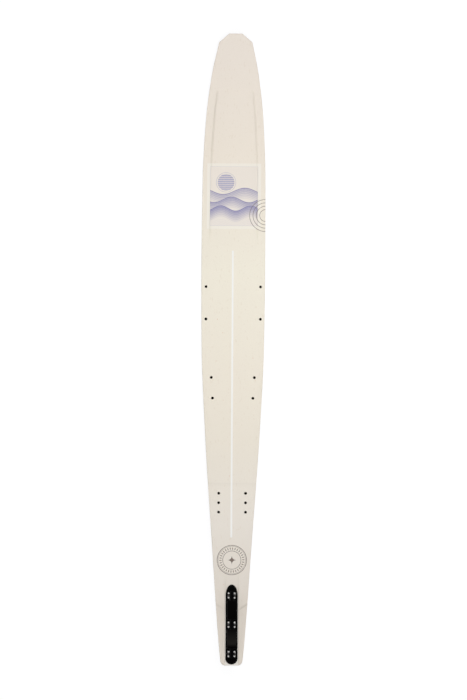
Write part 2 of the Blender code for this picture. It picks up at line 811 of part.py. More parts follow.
def build_fin_seating(ski, body):
    """The lined slit in the tail, and the plate and inserts that the fin block's screws hold in."""
    seat = add_seat("fin_seat", ski, block_middle(), CHANNEL_DEPTH)
    room_cutter = build_slit_liner(ski, body, seat)
    places = slot_places()
    holes = cylinders("fin_screw_holes", places, slot_half_width(), -UNDER_TOPSHEET, CUT_OVERRUN)
    cut(body["topsheet"], add_cutter("fin_screw_holes", holes, seat))
    insert_end = -(UNDER_TOPSHEET + FIN_INSERT_LENGTH + CLEARANCE)
    barrels = cylinders("fin_barrels", places, FIN_INSERT_RADIUS + CLEARANCE, insert_end, -TOPSHEET / 2)
    barrel_cutter = add_cutter("fin_barrels", barrels, seat)
    plate_reach = fin_plate_half_length()
    low = (-FIN_PLATE_HALF, -plate_reach, -UNDER_TOP_LAMINATE - FIN_PLATE_THICKNESS)
    high = (FIN_PLATE_HALF, plate_reach, -UNDER_TOP_LAMINATE)
    plate = add_part("fin_insert_plate", box_mesh("fin_plate", low, high), "plate_phenolic", seat)
    pocket_low = [value - CLEARANCE for value in low]
    pocket_high = (high[0] + CLEARANCE, high[1] + CLEARANCE, CUT_OVERRUN)
    pocket = box_mesh("fin_plate_pocket", pocket_low, pocket_high)
    cut(body["core"], add_cutter("fin_plate_pocket", pocket, seat))
    for piece in (body["core"], plate):
        cut(piece, room_cutter)
        cut(piece, barrel_cutter)
    cut(body["top_laminate"], barrel_cutter)
    insert_mesh = turned_mesh("fin_insert", fin_insert_profile())
    for number, (x, y) in enumerate(places, start=1):
        insert = add_part(f"fin_insert_{number}", insert_mesh, "insert_brass", seat)
        insert.location = (x, y, -UNDER_TOPSHEET)
        turn(insert)
    return seat


def block_outline():
    """Rear end a half circle, front end a longer half ellipse."""
    rear, front = block_ends()
    rear_middle = (0.0, rear + BLOCK_HALF)
    front_middle = (0.0, front - BLOCK_FRONT_ARCH)
    points = arc(rear_middle, (BLOCK_HALF, BLOCK_HALF), 180, 360, BLOCK_END_STEPS)
    return points + arc(front_middle, (BLOCK_HALF, BLOCK_FRONT_ARCH), 0, 180, BLOCK_END_STEPS)


def slot_outline(x, y):
    straight = SLIDE_TRAVEL + SLOT_END_CLEARANCE - SLOT_SIDE_CLEARANCE
    radii = (slot_half_width(), slot_half_width())
    points = arc((x, y + straight), radii, 0, 180, SLOT_END_STEPS)
    return points + arc((x, y - straight), radii, 180, 360, SLOT_END_STEPS)


def raised_plate(name, splines, low, high):
    """A plate between two heights."""
    mesh = flat_outline(name, splines, high - low)
    mesh.transform(Matrix.Translation((0.0, 0.0, (low + high) / 2)))
    return mesh


def build_fin_block(seat):
    """The block in its own frame: its flange stands on the channel's floor with a small clearance."""
    block_frame = add_empty("fin_block_slide_axis", seat, (0.0, 0.0, CLEARANCE))
    mesh = raised_plate("fin_block", [block_outline()], 0.0, FLANGE_THICKNESS)
    block = add_part("fin_block", mesh, "anodised_black", block_frame)
    inside = FLANGE_THICKNESS / 2
    for number, y in enumerate(boss_places(), start=1):
        low = (-BOSS_HALF, y - BOSS_LENGTH / 2, inside)
        high = (BOSS_HALF, y + BOSS_LENGTH / 2, BOSS_HEIGHT)
        boss = rounded_box_mesh(f"boss_{number}", low, high, BOSS_CORNER_RADIUS)
        cut(block, add_cutter(f"boss_{number}", boss, block_frame), "UNION")
    low = (-RIDGE_HALF, -ridge_half_length(), inside)
    high = (RIDGE_HALF, ridge_half_length(), BOSS_HEIGHT - RIDGE_BELOW_BOSSES)
    ridge = rounded_box_mesh("ridge", low, high, RIDGE_CORNER_RADIUS)
    cut(block, add_cutter("ridge", ridge, block_frame), "UNION")
    outlines = [slot_outline(x, y) for x, y in slot_places()]
    slots = raised_plate("mounting_slots", outlines, -CUT_OVERRUN, FLANGE_THICKNESS + CUT_OVERRUN)
    cut(block, add_cutter("mounting_slots", slots, block_frame))
    inner, _ = clamp_bar_span()
    fin_room = FIN_LENGTH / 2 + CLEARANCE
    ceiling = FIN_TAB_TOP + FIN_DEPTH_TRAVEL + 2 * CLEARANCE
    fin_slot = box_mesh("fin_slot", (-inner, -fin_room, -CUT_OVERRUN), (inner, fin_room, ceiling))
    cut(block, add_cutter("fin_slot", fin_slot, block_frame))
    cut_clamp_rooms(block, block_frame)
    return block_frame


def cut_clamp_rooms(block, block_frame):
    """The rooms beside the fin for the clamp bars, and the set screws' holes into them from the right."""
    _, outer = clamp_bar_span()
    bar_room = CLAMP_BAR_LENGTH / 2 + CLEARANCE
    bm = bmesh.new()
    for y in boss_places():
        low = (-MERGE, y - bar_room, -CUT_OVERRUN)
        high = (outer + CLEARANCE, y + bar_room, CLAMP_BAR_TOP + CLEARANCE)
        add_box(bm, low, high)
    cut(block, add_cutter("clamp_rooms", mesh_from(bm, "clamp_rooms"), block_frame))
    bm = bmesh.new()
    z = clamp_screw_z()
    for y in clamp_screw_places():
        outside = (BOSS_HALF + CUT_OVERRUN, y, z)
        add_cylinder(bm, CLAMP_SCREW_RADIUS + CLEARANCE, (outer, y, z), outside)
    cut(block, add_cutter("clamp_screw_holes", mesh_from(bm, "clamp_screw_holes"), block_frame))


def build_clamps(block_frame):
    inner, outer = clamp_bar_span()
    for name, y in zip(("fin_clamp_bar_front", "fin_clamp_bar_rear"), boss_places()):
        low = (inner, -CLAMP_BAR_LENGTH / 2, CLAMP_BAR_BOTTOM)
        high = (outer, CLAMP_BAR_LENGTH / 2, CLAMP_BAR_TOP)
        bar = add_part(name, box_mesh(name, low, high), "fin_aluminium", block_frame)
        bar.location = (0.0, y, 0.0)
    length = BOSS_HALF - outer - 2 * CLEARANCE
    profile = [
        (0.0, -CLAMP_SCREW_SOCKET),
        (CLAMP_SCREW_SOCKET_RADIUS, -CLAMP_SCREW_SOCKET),
        (CLAMP_SCREW_SOCKET_RADIUS, 0.0),
        (CLAMP_SCREW_RADIUS, 0.0),
        (CLAMP_SCREW_RADIUS, -length),
        (0.0, -length),
    ]
    mesh = turned_mesh("clamp_screw", profile)
    for number, y in enumerate(clamp_screw_places(), start=1):
        screw = add_part(f"fin_clamp_screw_{number}", mesh, "screw_steel", block_frame)
        screw.location = (BOSS_HALF - CLEARANCE, y, clamp_screw_z())
        screw.rotation_euler.y = math.pi / 2
        turn(screw)


def build_block_screws(seat):
    """Button heads on the flange, with shanks down through the slots into the inserts."""
    head_base = FLANGE_THICKNESS + 2 * CLEARANCE
    tip = -(UNDER_TOPSHEET + FIN_INSERT_LENGTH - FIN_INSERT_FLOOR - CLEARANCE)
    head_top = head_base + BLOCK_SCREW_HEAD
    profile = [
        (0.0, head_top - BLOCK_SCREW_SOCKET),
        (BLOCK_SCREW_SOCKET_RADIUS, head_top - BLOCK_SCREW_SOCKET),
        (BLOCK_SCREW_SOCKET_RADIUS, head_top),
        (BLOCK_SCREW_CROWN_RADIUS, head_top - BLOCK_SCREW_CROWN),
        (BLOCK_SCREW_HEAD_RADIUS, head_base + BLOCK_SCREW_RIM),
        (BLOCK_SCREW_HEAD_RADIUS, head_base),
        (BLOCK_SCREW_SHANK_RADIUS, head_base),
        (BLOCK_SCREW_SHANK_RADIUS, tip),
        (0.0, tip),
    ]
    mesh = turned_mesh("block_screw", profile)
    for number, (x, y) in enumerate(slot_places(), start=1):
        screw = add_part(f"fin_block_screw_{number}", mesh, "screw_steel", seat)
        screw.location = (x, y, 0.0)
        turn(screw)


def fin_base_z():
    """Height of the ski's base edges at the fin's middle, from the seat that the block stands on."""
    middle = block_middle()
    return base_z(middle) - (deck_z(middle) - CHANNEL_DEPTH) - CLEARANCE


def fin_outline():
    """The blade seen from the right: y forward, z up, from the block's middle and seat."""
    top = FIN_TAB_TOP
    base = fin_base_z()
    bottom = base - FIN_DEPTH
    front = FIN_LENGTH / 2
    rear = -FIN_LENGTH / 2
    sweep = (front - FIN_BOTTOM_FRONT, FIN_DEPTH)
    leading = arc((FIN_BOTTOM_FRONT, base), sweep, 0, -90, LEADING_EDGE_STEPS)
    radius = FIN_REAR_CORNER_RADIUS
    corner_middle = (rear + FIN_REAR_RAKE + radius, bottom + radius)
    corner = arc(corner_middle, (radius, radius), -90, -180, FIN_CORNER_STEPS)
    return [(front, top), *leading, *corner, (rear, base), (rear, top)]


def wing_hole():
    return WING_HOLE_AT, fin_base_z() - WING_HOLE_BELOW_BASE


def wing_slot():
    """The arc slot about the wing's pivot hole, from level with it to WING_SLOT_DOWN degrees above."""
    middle = wing_hole()
    high, low = 180.0, 180.0 - WING_SLOT_DOWN

    def cap(angle, start):
        turned = math.radians(angle)
        y = middle[0] + WING_SLOT_BEHIND * math.cos(turned)
        z = middle[1] + WING_SLOT_BEHIND * math.sin(turned)
        radii = (WING_HOLE_RADIUS, WING_HOLE_RADIUS)
        return arc((y, z), radii, start, start + 180, WING_SLOT_STEPS)[1:-1]

    outer = WING_SLOT_BEHIND + WING_HOLE_RADIUS
    inner = WING_SLOT_BEHIND - WING_HOLE_RADIUS
    far_side = arc(middle, (outer, outer), low, high, WING_SLOT_STEPS)
    near_side = arc(middle, (inner, inner), high, low, WING_SLOT_STEPS)
    return far_side + cap(high, high) + near_side + cap(low, low + 180)


def upright_plate(mesh):
    """Turns a plate drawn in (y, z) so that it stands along the ski, square to X."""
    mesh.transform(Matrix(((0, 0, 1, 0), (1, 0, 0, 0), (0, 1, 0, 0), (0, 0, 0, 1))))
    return mesh


def build_fin(block_frame):
    fin_frame = add_empty("fin_depth_axis", block_frame)
    pivot_hole = arc(wing_hole(), (WING_HOLE_RADIUS, WING_HOLE_RADIUS), 0, 360, HOLE_SIDES)[:-1]
    mesh = flat_outline("fin", [fin_outline(), pivot_hole, wing_slot()], FIN_THICKNESS)
    add_part("fin", upright_plate(mesh), "fin_aluminium", fin_frame)


def rest_pitch():
    """Pitch at which the fin and the forebody stand on one level surface."""
    middle = block_middle()
    tilt = Matrix.Rotation(facet_pitch(middle), 4, "X")
    seat = Vector((0.0, along(middle), deck_z(middle) - CHANNEL_DEPTH))
    fin_points = [seat + tilt @ Vector((0.0, y, z + CLEARANCE)) for y, z in fin_outline()]
    base_points = [Vector((0.0, along(s), base_z(s))) for s in stations(LOWEST_AT, LENGTH)]

    def lowest(points, pitch):
        turned = Matrix.Rotation(pitch, 4, "X")
        return min((turned @ point).z for point in points)

    low, high = math.radians(-STEEPEST_REST_PITCH), 0.0
    for _ in range(PITCH_HALVINGS):
        pitch = (low + high) / 2
        if lowest(fin_points, pitch) < lowest(base_points, pitch):
            high = pitch
        else:
            low = pitch
    return (low + high) / 2


def stand_on_floor(ski):
    """Centres the ski over the origin with its lowest points at z = 0."""
    bpy.context.view_layer.update()
    graph = bpy.context.evaluated_depsgraph_get()
    points = []
    for obj in parts_collection().objects:
        if obj.type == "MESH":
            evaluated = obj.evaluated_get(graph)
            points += [evaluated.matrix_world @ vertex.co for vertex in evaluated.data.vertices]
    front = max(point.y for point in points)
    back = min(point.y for point in points)
    ski.location = (0.0, -(front + back) / 2, -min(point.z for point in points))


def shade_round_pieces():
    for obj in parts_collection().objects:
        if obj.type == "MESH" and obj.data.polygons:
            obj.data.shade_smooth()
            obj.data.set_sharp_from_angle(angle=math.radians(SHARP_ANGLE))


def main():
    for obj in list(bpy.data.objects):
        bpy.data.objects.remove(obj)
    for name in (OBJECT_NAME, OBJECT_NAME + "_cutters"):
        bpy.context.scene.collection.children.link(bpy.data.collections.new(name))
    ski = add_empty("ski_frame", None)
    ski.rotation_euler.x = rest_pitch()
    body = build_ski_body(ski)
    insert_mesh = turned_mesh("binding_insert", insert_profile())
    build_binding_group("front", inset_rows(FRONT_ROWS), ski, body, insert_mesh)
    build_binding_group("mid", inset_rows(MID_ROWS), ski, body, insert_mesh)
    build_binding_group("rear", rear_rows(), ski, body, insert_mesh)
    seat = build_fin_seating(ski, body)
    block_frame = build_fin_block(seat)
    build_clamps(block_frame)
    build_block_screws(seat)
    build_fin(block_frame)
    shade_round_pieces()
    stand_on_floor(ski)


main()
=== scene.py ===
"""Slalom water ski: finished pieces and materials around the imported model, on a pale studio floor.

Metres, in the model's frame. Pieces of the ski's body are shaped in the ski's own frame: x across,
y forward of the middle, z up from the lowest point of the base. Stations run from the tail's end.
"""

import json
import math
from functools import cache, partialmethod, reduce

import bmesh
import bpy
from mathutils import Matrix, Vector


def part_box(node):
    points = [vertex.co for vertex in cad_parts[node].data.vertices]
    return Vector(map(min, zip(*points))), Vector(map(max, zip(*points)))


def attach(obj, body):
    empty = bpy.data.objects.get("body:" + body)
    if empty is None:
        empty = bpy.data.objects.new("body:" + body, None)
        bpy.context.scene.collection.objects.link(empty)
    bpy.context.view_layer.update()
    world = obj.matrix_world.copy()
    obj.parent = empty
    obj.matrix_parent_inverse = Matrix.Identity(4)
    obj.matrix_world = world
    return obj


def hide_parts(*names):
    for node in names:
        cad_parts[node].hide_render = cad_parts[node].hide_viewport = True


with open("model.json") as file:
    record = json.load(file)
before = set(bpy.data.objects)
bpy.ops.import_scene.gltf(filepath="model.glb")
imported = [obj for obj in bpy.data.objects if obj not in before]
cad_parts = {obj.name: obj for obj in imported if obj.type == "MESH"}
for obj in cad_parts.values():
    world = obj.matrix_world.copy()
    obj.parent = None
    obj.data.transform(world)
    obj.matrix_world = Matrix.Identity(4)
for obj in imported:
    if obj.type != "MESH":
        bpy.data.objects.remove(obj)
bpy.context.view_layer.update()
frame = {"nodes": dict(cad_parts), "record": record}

# Plan view
LENGTH = 1.6986
WIDEST_AT = 1.082
WIDEST_HALF = 0.0856
AFT_OUTLINE = ((0.0, 0.0284), (0.050, 0.0336), (0.337, 0.0540), (0.617, 0.0728), (0.862, 0.0837))
FORE_OUTLINE_FROM_TIP = ((0.392, 0.0844), (0.232, 0.0772), (0.112, 0.0630))
NOSE_CHAMFER_LENGTH = 0.0234
NOSE_CORNER_AT = LENGTH - NOSE_CHAMFER_LENGTH
NOSE_CORNER_HALF = 0.0448
NOSE_END_HALF = 0.0175
TAIL_CORNER_RADIUS = 0.012

# Side view
LOWEST_AT = 0.800
TAIL_ROCKER = 0.026
TIP_ROCKER = 0.072
TIP_ROCKER_POWER = 2.2
MID_THICKNESS = 0.024
TIP_THICKNESS = 0.011
DECK_FLAT_FROM = 0.4916
DECK_FLAT_TO = 1.0416
REAR_FACET_RISE = 0.004
TAIL_FACET_RISE = 0.010
TAIL_FACET_AT = 0.2416

# Cross section
DECK_ROUNDING = 0.0015
BASE_BEVEL_WIDTH = 0.004
BASE_BEVEL_HEIGHT = 0.003
BASE_RAIL_WIDTH = 0.0145
BASE_RAIL_ROUNDING = 0.005
TUNNEL_DEPTHS_FROM_TAIL = ((0.0, 0.002), (0.250, 0.002), (0.700, 0.005), (1.150, 0.005))
TUNNEL_DEPTH_AT_TIP = 0.001
RAIL_INSET = 0.0201
RAIL_WALL_WIDTH = 0.0030
FOREBODY_RECESS = 0.0020
RAIL_WALLS_FULL_FROM = 1.0756
RECESS_FADE_FROM = 1.118
RECESS_FADE_TO = 1.180
RECESS_TO = LENGTH - 0.147
RECESS_RUN_OUT = 0.020
CHANNEL_HALF = 0.0180
CHANNEL_WALL_WIDTH = 0.0006
LEAST_LAND = 0.0004
CHANNEL_DEPTH = 0.0012
CHANNEL_RUN_OUT = 0.016
TAIL_FALL = 0.0010
TAIL_FALL_SHARE_INSIDE = 0.4
TAIL_FALL_FROM = 0.1656
TAIL_FALL_SWEEP = 0.016
TAIL_FALL_RUN = 0.004
WALL_ROUNDING = 0.0008
WALL_ROUNDING_SHARE_AFT = 0.35
# Painted shade beside the recess walls and behind the tail's crease: its reach, its strength along the ski,
# and its extra strength on the right
SHADE_REACH = 0.0015
SHADE_ALONG = ((0.0, 0.0), (0.205, 0.0), (0.228, 0.7), (1.150, 0.0), (1.185, 0.35), (1.400, 1.0))
CREASE_REACH = 0.0028
CREASE_SHADE_RIGHT = 4.2
FACET_SHADE_RUN = 0.012

# Laminated build
TOPSHEET = 0.0007
LAMINATE = 0.0008
BASE_SHEET = 0.0009
LAYER_GAP = 0.0003
SIDEWALL = 0.005
NOSE_BLOCK_LENGTH = 0.030
TAIL_BLOCK_LENGTH = 0.009
UNDER_TOPSHEET = TOPSHEET + LAYER_GAP
UNDER_LAMINATE = UNDER_TOPSHEET + LAMINATE + LAYER_GAP
OVER_BASE_SHEET = BASE_SHEET + LAYER_GAP
OVER_BASE_LAMINATE = OVER_BASE_SHEET + LAMINATE + LAYER_GAP

# Binding inserts
INSERT_RADIUS = 0.00475
INSERT_BODY_RADIUS = 0.0062
INSERT_BORE_RADIUS = 0.0026
INSERT_LENGTH = 0.0120
INSERT_FLOOR = 0.0015
INSERT_SHOULDER = 0.0044
INSERT_LIP = 0.0004
INSERT_THREAD_PITCH = 0.00127
INSERT_THREAD_DEPTH = 0.00035
INSERT_THREAD_OVER_FLOOR = 0.001
INSERT_THREAD_UNDER_TOP = 0.0012
DECK_HOLE_RADIUS = 0.0031
DECK_HOLE_CHAMFER = 0.0004
BINDING_INSERTS = {"front": 4, "mid": 4, "rear": 6}
FRONT_ROWS = (0.9316, 1.0186)

# Fin block
BLOCK_MIDDLE = 0.10985
BLOCK_REAR = -0.10675
BLOCK_FRONT = 0.10805
BLOCK_HALF = 0.0161
BLOCK_FRONT_ARCH = 0.029
FLANGE_THICKNESS = 0.0022
FLANGE_BEVEL = 0.0005
BOSS_HALF = 0.0125
BOSS_LENGTH = 0.051
BOSS_HEIGHT = 0.0125
BOSS_CORNER_RADIUS = 0.003
BOSS_TOP_ROUNDING = 0.0010
RIDGE_HALF = 0.0040
RIDGE_HALF_LENGTH = 0.090
RIDGE_BELOW_BOSSES = 0.0005
RIDGE_CORNER_RADIUS = 0.0015
SLOT_COLUMN_HALF = 0.00825
SLOT_ROW_PITCH = 0.0787
BOSS_ROWS = (SLOT_ROW_PITCH / 2, -SLOT_ROW_PITCH / 2)
SLOT_HALF_WIDTH = 0.00225
SLOT_HALF_LENGTH = 0.00865

# Screws
BLOCK_SCREW_SHANK_RADIUS = 0.0019
BLOCK_SCREW_HEAD_RADIUS = 0.0039
BLOCK_SCREW_HEAD = 0.0024
BLOCK_SCREW_SOCKET_RADIUS = 0.0014
BLOCK_SCREW_SOCKET = 0.0014
BLOCK_SCREW_THREAD_PITCH = 0.0007
BLOCK_SCREW_THREAD_DEPTH = 0.00025
BLOCK_SCREW_LENGTH = 0.0052
BLOCK_SCREW_EDGE = 0.0004
BLOCK_SCREW_FLAT_SHARE = 0.16
BLOCK_SCREW_TURN = 0.4
CLAMP_SCREW_RADIUS = 0.0025
CLAMP_SCREW_LENGTH = 0.0078
CLAMP_SCREW_THREAD_PITCH = 0.0008
CLAMP_SCREW_THREAD_DEPTH = 0.0003
CLAMP_SCREW_SOCKET_RADIUS = 0.00125
CLAMP_SCREW_SOCKET = 0.0025
CLAMP_SCREW_SPACING = 0.026
CLAMP_SCREW_Z = 0.0065
CLAMP_BAR_LENGTH = 0.046
CLAMP_BAR_TOP = 0.0098
CLAMP_OUTER = 0.0041
CLAMP_ROOM_OVERLAP = 0.00005

# Fin
FIN_THICKNESS = 0.0016
FIN_LENGTH = 0.172
FIN_DEPTH = 0.063
FIN_TRAVEL = 0.0015
FIN_TAB_TOP = 0.0085
FIN_BOTTOM_FRONT = -0.010
FIN_REAR_CORNER_RADIUS = 0.010
FIN_REAR_RAKE = 0.002
FIN_EDGE_ROUNDING = 0.0004
SLIT_HALF_WIDTH = 0.0019
SLIT_HALF_LENGTH = 0.093
SLIT_DEPTH = 0.04
WING_HOLE_AT = -0.038
WING_HOLE_BELOW_BASE = 0.030
WING_HOLE_RADIUS = 0.0018
WING_SLOT_BEHIND = 0.016
WING_SLOT_DOWN = 12.0

CLEARANCE = 0.0003
OVERRUN = 0.004
FINE_STEP = 0.009
RECESS_FADE_STEP = 0.005
RECESS_END_STEP = 0.0025
NOSE_STEP = 0.003
LEAST_STEP = 0.00005
LEAST_END_STEP = 0.0002
SLOPE_STEP = 0.0005
NOSE_ROUNDING_SPREAD = 1.6
ROUND_STEPS = 48
SHARP_ANGLE = 32.0
MERGE_DISTANCE = 0.000005

# Printed deck, in x across and station, with display colours
# Deck colour along the ski: partly the print's own tone, partly painted shade, darker toward the tail and the
# tip
DECK_TONES_AND_SHADE = (
    (0.03, (227, 218, 206)),
    (0.13, (222, 212, 200)),
    (0.24, (224, 216, 206)),
    (0.38, (230, 223, 213)),
    (0.60, (233, 225, 210)),
    (0.80, (237, 229, 213)),
    (1.06, (241, 235, 218)),
    (1.38, (237, 227, 213)),
    (1.66, (234, 224, 213)),
)
STRIPE_AT = -0.0018
STRIPE_FROM = 0.3446
STRIPE_TO = 1.1156
STRIPE_WIDTH = 0.0048
PANEL_MIDDLE = 1.2621
PANEL_HALF_WIDTH = 0.0725
PANEL_HALF_LENGTH = 0.0880
PANEL_BORDER = 0.0085
PANEL_EDGE_LINE = 0.0007
DISC_FROM_MIDDLE = (-0.0215, 0.0370)
DISC_RADIUS = 0.0225
DISC_BAR_PITCH = 0.0052
DISC_BAR_GAP = 0.0012
DISC_LINE = (0.0262, 0.0011)
SWELLS = (
    # place along the panel, height, wave, shift, ink
    (0.014, 0.0085, 0.118, 0.000, 0.60),
    (-0.009, 0.0075, 0.094, 0.030, 0.76),
    (-0.032, 0.0070, 0.080, 0.055, 0.92),
)
SWELL_FADE = 31.0
SWELL_HATCH_PITCH = 0.0046
SWELL_HATCH = 0.0016
SWELL_LINE = 0.0018
PRINT_SOFTNESS = 0.0004
END_SOFTNESS = 0.001
RING_AT = 0.2836
RING_LINES = ((0.0395, 0.0017), (0.0367, 0.0008), (0.0245, 0.0014))
RING_TICKS = (0.0278, 0.0338)
RING_TICK_TURN = math.tau / 30
RING_TICK_SHARE = 0.34
RING_TICK_SOFTNESS = 0.02
STAR_REACH = 0.0135
STAR_SOFTNESS = 0.004
BARE_DECK_FROM = 0.0165
BARE_DECK_TO = 0.200
BARE_DECK_HALF = 0.0118
# Painted light in the tail channel beside the block: where it ends and how softly it fades
CHANNEL_PALE_TO = 0.190
CHANNEL_PALE_RUN = 0.012
RIPPLE_MIDDLE = (0.0857, 1.2106)
RIPPLE_RADII = (0.016, 0.025, 0.034, 0.043)
RIPPLE_LINE = 0.0014

# Painted sheen on the rear boss, each a limit and its soft width, in the block's frame
SHEEN_FRONT = (-0.027, 0.028)
SHEEN_REAR = (-0.0560, 0.008)
SHEEN_LOWEST = (0.0100, 0.001)

# Camera, floor and lights
CAMERA_DISTANCE = 55.0
CAMERA_LEAN = 3.2
CAMERA_ROLL = 0.33
METRES_PER_PIXEL = 0.002689
IMAGE_HEIGHT = 700
SENSOR = 36.0
AIM = (0.00145, 0.8485)
FLOOR_HALF = 40.0
FLOOR_LEVEL = -0.0005
FLOOR_WHITE = 0.80
FLOOR_SHADOW = 0.17
FLOOR_GLOW = 0.895
SKY_ZENITH = 0.25
SKY_HORIZON = 1.0
KEY_PLACE = (0.12, 0.20, 2.2)
KEY_SIZE = (1.3, 2.4)
KEY_WATTS = 29.8
FILL_AWAY = 2.2
FILL_HEIGHT = 0.30
FILL_SIZE = (2.6, 0.55)
FILL_WATTS = {"left": 8.5, "right": 4.5}


def linear(red, green, blue):
    """A colour from its 8-bit display values."""
    channels = []
    for value in (red, green, blue):
        share = value / 255
        channels.append(share / 12.92 if share <= 0.04045 else ((share + 0.055) / 1.055) ** 2.4)
    return (*channels, 1.0)


# Shape of the ski


def smooth_curve(points, at):
    """Value at a station of a curve through (station, value) points, with no overshoot between them."""
    steps = [b[0] - a[0] for a, b in zip(points, points[1:])]
    slopes = [(b[1] - a[1]) / step for a, b, step in zip(points, points[1:], steps)]
    tangents = [slopes[0]]
    for before, after in zip(slopes, slopes[1:]):
        same_way = before * after > 0
        tangents.append(2 * before * after / (before + after) if same_way else 0.0)
    tangents.append(slopes[-1])
    at = min(max(at, points[0][0]), points[-1][0])
    i = 0
    while i < len(steps) - 1 and at > points[i + 1][0]:
        i += 1
    t = (at - points[i][0]) / steps[i]
    rise = points[i + 1][1] - points[i][1]
    start = t * (1 - t) ** 2 * steps[i] * tangents[i]
    end = t * t * (t - 1) * steps[i] * tangents[i + 1]
    return points[i][1] + t * t * (3 - 2 * t) * rise + start + end


def ramp(value, start, end):
    """0 at start and before it, 1 at end and past it."""
    return min(max((value - start) / (end - start), 0.0), 1.0)


def eased(share):
    share = min(max(share, 0.0), 1.0)
    return share * share * (3 - 2 * share)


OUTLINE = [
    *AFT_OUTLINE,
    (WIDEST_AT, WIDEST_HALF),
    *[(LENGTH - back, half) for back, half in FORE_OUTLINE_FROM_TIP],
    (NOSE_CORNER_AT, NOSE_CORNER_HALF),
]


@cache
def half_width(s):
    if s > NOSE_CORNER_AT:
        share = (s - NOSE_CORNER_AT) / NOSE_CHAMFER_LENGTH
        return NOSE_CORNER_HALF + share * (NOSE_END_HALF - NOSE_CORNER_HALF)
    half = smooth_curve(OUTLINE, s)
    if s < TAIL_CORNER_RADIUS:
        short = TAIL_CORNER_RADIUS - s
        half += math.sqrt(TAIL_CORNER_RADIUS**2 - short**2) - TAIL_CORNER_RADIUS
    return half


def base_z(s):
    if s < LOWEST_AT:
        return TAIL_ROCKER * ((LOWEST_AT - s) / LOWEST_AT) ** 2
    return TIP_ROCKER * ((s - LOWEST_AT) / (LENGTH - LOWEST_AT)) ** TIP_ROCKER_POWER


def deck_z(s):
    if s > DECK_FLAT_TO:
        run = LENGTH - DECK_FLAT_TO
        at_flat = MID_THICKNESS - base_z(DECK_FLAT_TO)
        slope = TIP_ROCKER_POWER * base_z(DECK_FLAT_TO) / (DECK_FLAT_TO - LOWEST_AT)
        power = slope * run / (at_flat - TIP_THICKNESS)
        falling = (1 - (s - DECK_FLAT_TO) / run) ** power
        return base_z(s) + TIP_THICKNESS + (at_flat - TIP_THICKNESS) * falling
    rear = REAR_FACET_RISE * ramp(s, DECK_FLAT_FROM, TAIL_FACET_AT)
    return MID_THICKNESS + rear + TAIL_FACET_RISE * ramp(s, TAIL_FACET_AT, 0.0)


def recess_depth(s):
    fore = eased(ramp(s, RECESS_FADE_FROM, RECESS_FADE_TO))
    fore *= eased(ramp(s, RECESS_TO, RECESS_TO - RECESS_RUN_OUT))
    channel = ramp(s, TAIL_FACET_AT, TAIL_FACET_AT - CHANNEL_RUN_OUT)
    return FOREBODY_RECESS * fore + CHANNEL_DEPTH * channel


def channel_to_rails(s):
    """0 where the walls are the tail channel's, 1 where they are the forebody's rails."""
    return ramp(s, TAIL_FACET_AT, RAIL_WALLS_FULL_FROM)


@cache
def wall_top(s):
    if s > RECESS_TO:
        return half_width(s) * (1 - RAIL_INSET / half_width(RECESS_TO))
    share = channel_to_rails(s)
    lip = CHANNEL_HALF * (1 - share) + (half_width(s) - RAIL_INSET) * share
    return min(lip, half_width(s) - DECK_ROUNDING - LEAST_LAND)


def wall_bottom(s):
    share = channel_to_rails(s)
    return wall_top(s) - CHANNEL_WALL_WIDTH * (1 - share) - RAIL_WALL_WIDTH * share


@cache
def wall_rounding(s):
    """Half the extra width over which the wall's two edges are rounded."""
    share = WALL_ROUNDING_SHARE_AFT
    return WALL_ROUNDING * (share + (1 - share) * channel_to_rails(s))


def edge_distance(s, x):
    """How far a point of the deck lies in from the outline."""
    out = abs(x)
    if s < TAIL_CORNER_RADIUS:
        middle = smooth_curve(OUTLINE, s) - TAIL_CORNER_RADIUS
        if out > middle:
            return TAIL_CORNER_RADIUS - math.hypot(TAIL_CORNER_RADIUS - s, out - middle)
    slope = 0.0
    if s > NOSE_CORNER_AT:
        slope = (NOSE_END_HALF - NOSE_CORNER_HALF) / NOSE_CHAMFER_LENGTH
    elif s > 2 * SLOPE_STEP:
        slope = (half_width(s + SLOPE_STEP) - half_width(s - SLOPE_STEP)) / (2 * SLOPE_STEP)
    side = (half_width(s) - out) / math.hypot(1.0, slope)
    return min(side, s, LENGTH - s)


def rounding_drop(distance):
    """How far the deck's rounded edge drops at that distance in from the outline."""
    short = max(DECK_ROUNDING - max(distance, 0.0), 0.0)
    return DECK_ROUNDING - math.sqrt(max(DECK_ROUNDING**2 - short**2, 0.0))


def toward_edge(s, x):
    """0 at the top of the wall and inside it, 1 at the deck's edge."""
    return ramp(abs(x), wall_top(s), half_width(s) - DECK_ROUNDING)


def crease_at(s, x):
    """Station of the crease behind which the tail falls: it sweeps forward toward the edge."""
    return TAIL_FALL_FROM - TAIL_FALL_SWEEP * (1 - toward_edge(s, x))


def deck_surface(s, x):
    out = abs(x)
    lip = wall_top(s)
    crease = crease_at(s, x)
    inside = TAIL_FALL_SHARE_INSIDE
    share = inside + (1 - inside) * toward_edge(s, x)
    fall = TAIL_FALL * share * ramp(s, crease, crease - TAIL_FALL_RUN)
    fall *= ramp(out, lip, lip + TAIL_FALL_RUN)
    soft = wall_rounding(s)
    up_wall = eased(ramp(out, wall_bottom(s) - soft, lip + soft))
    sunk = recess_depth(s) * (1 - up_wall)
    return deck_z(s) - fall - sunk - rounding_drop(edge_distance(s, x))


@cache
def tunnel_depth(s):
    return smooth_curve([*TUNNEL_DEPTHS_FROM_TAIL, (LENGTH, TUNNEL_DEPTH_AT_TIP)], s)


def base_surface(s, x):
    out = abs(x)
    half = half_width(s)
    tunnel_half = half - BASE_RAIL_WIDTH
    tunnel = tunnel_depth(s) * max(1 - (out / tunnel_half) ** 2, 0.0)
    bevel = BASE_BEVEL_HEIGHT * ramp(out, half - BASE_BEVEL_WIDTH, half)
    return base_z(s) + tunnel + bevel


def spread(start, end, step):
    """Even values from start to end, both included."""
    count = max(round((end - start) / step), 1)
    return [start + (end - start) * i / count for i in range(count + 1)]


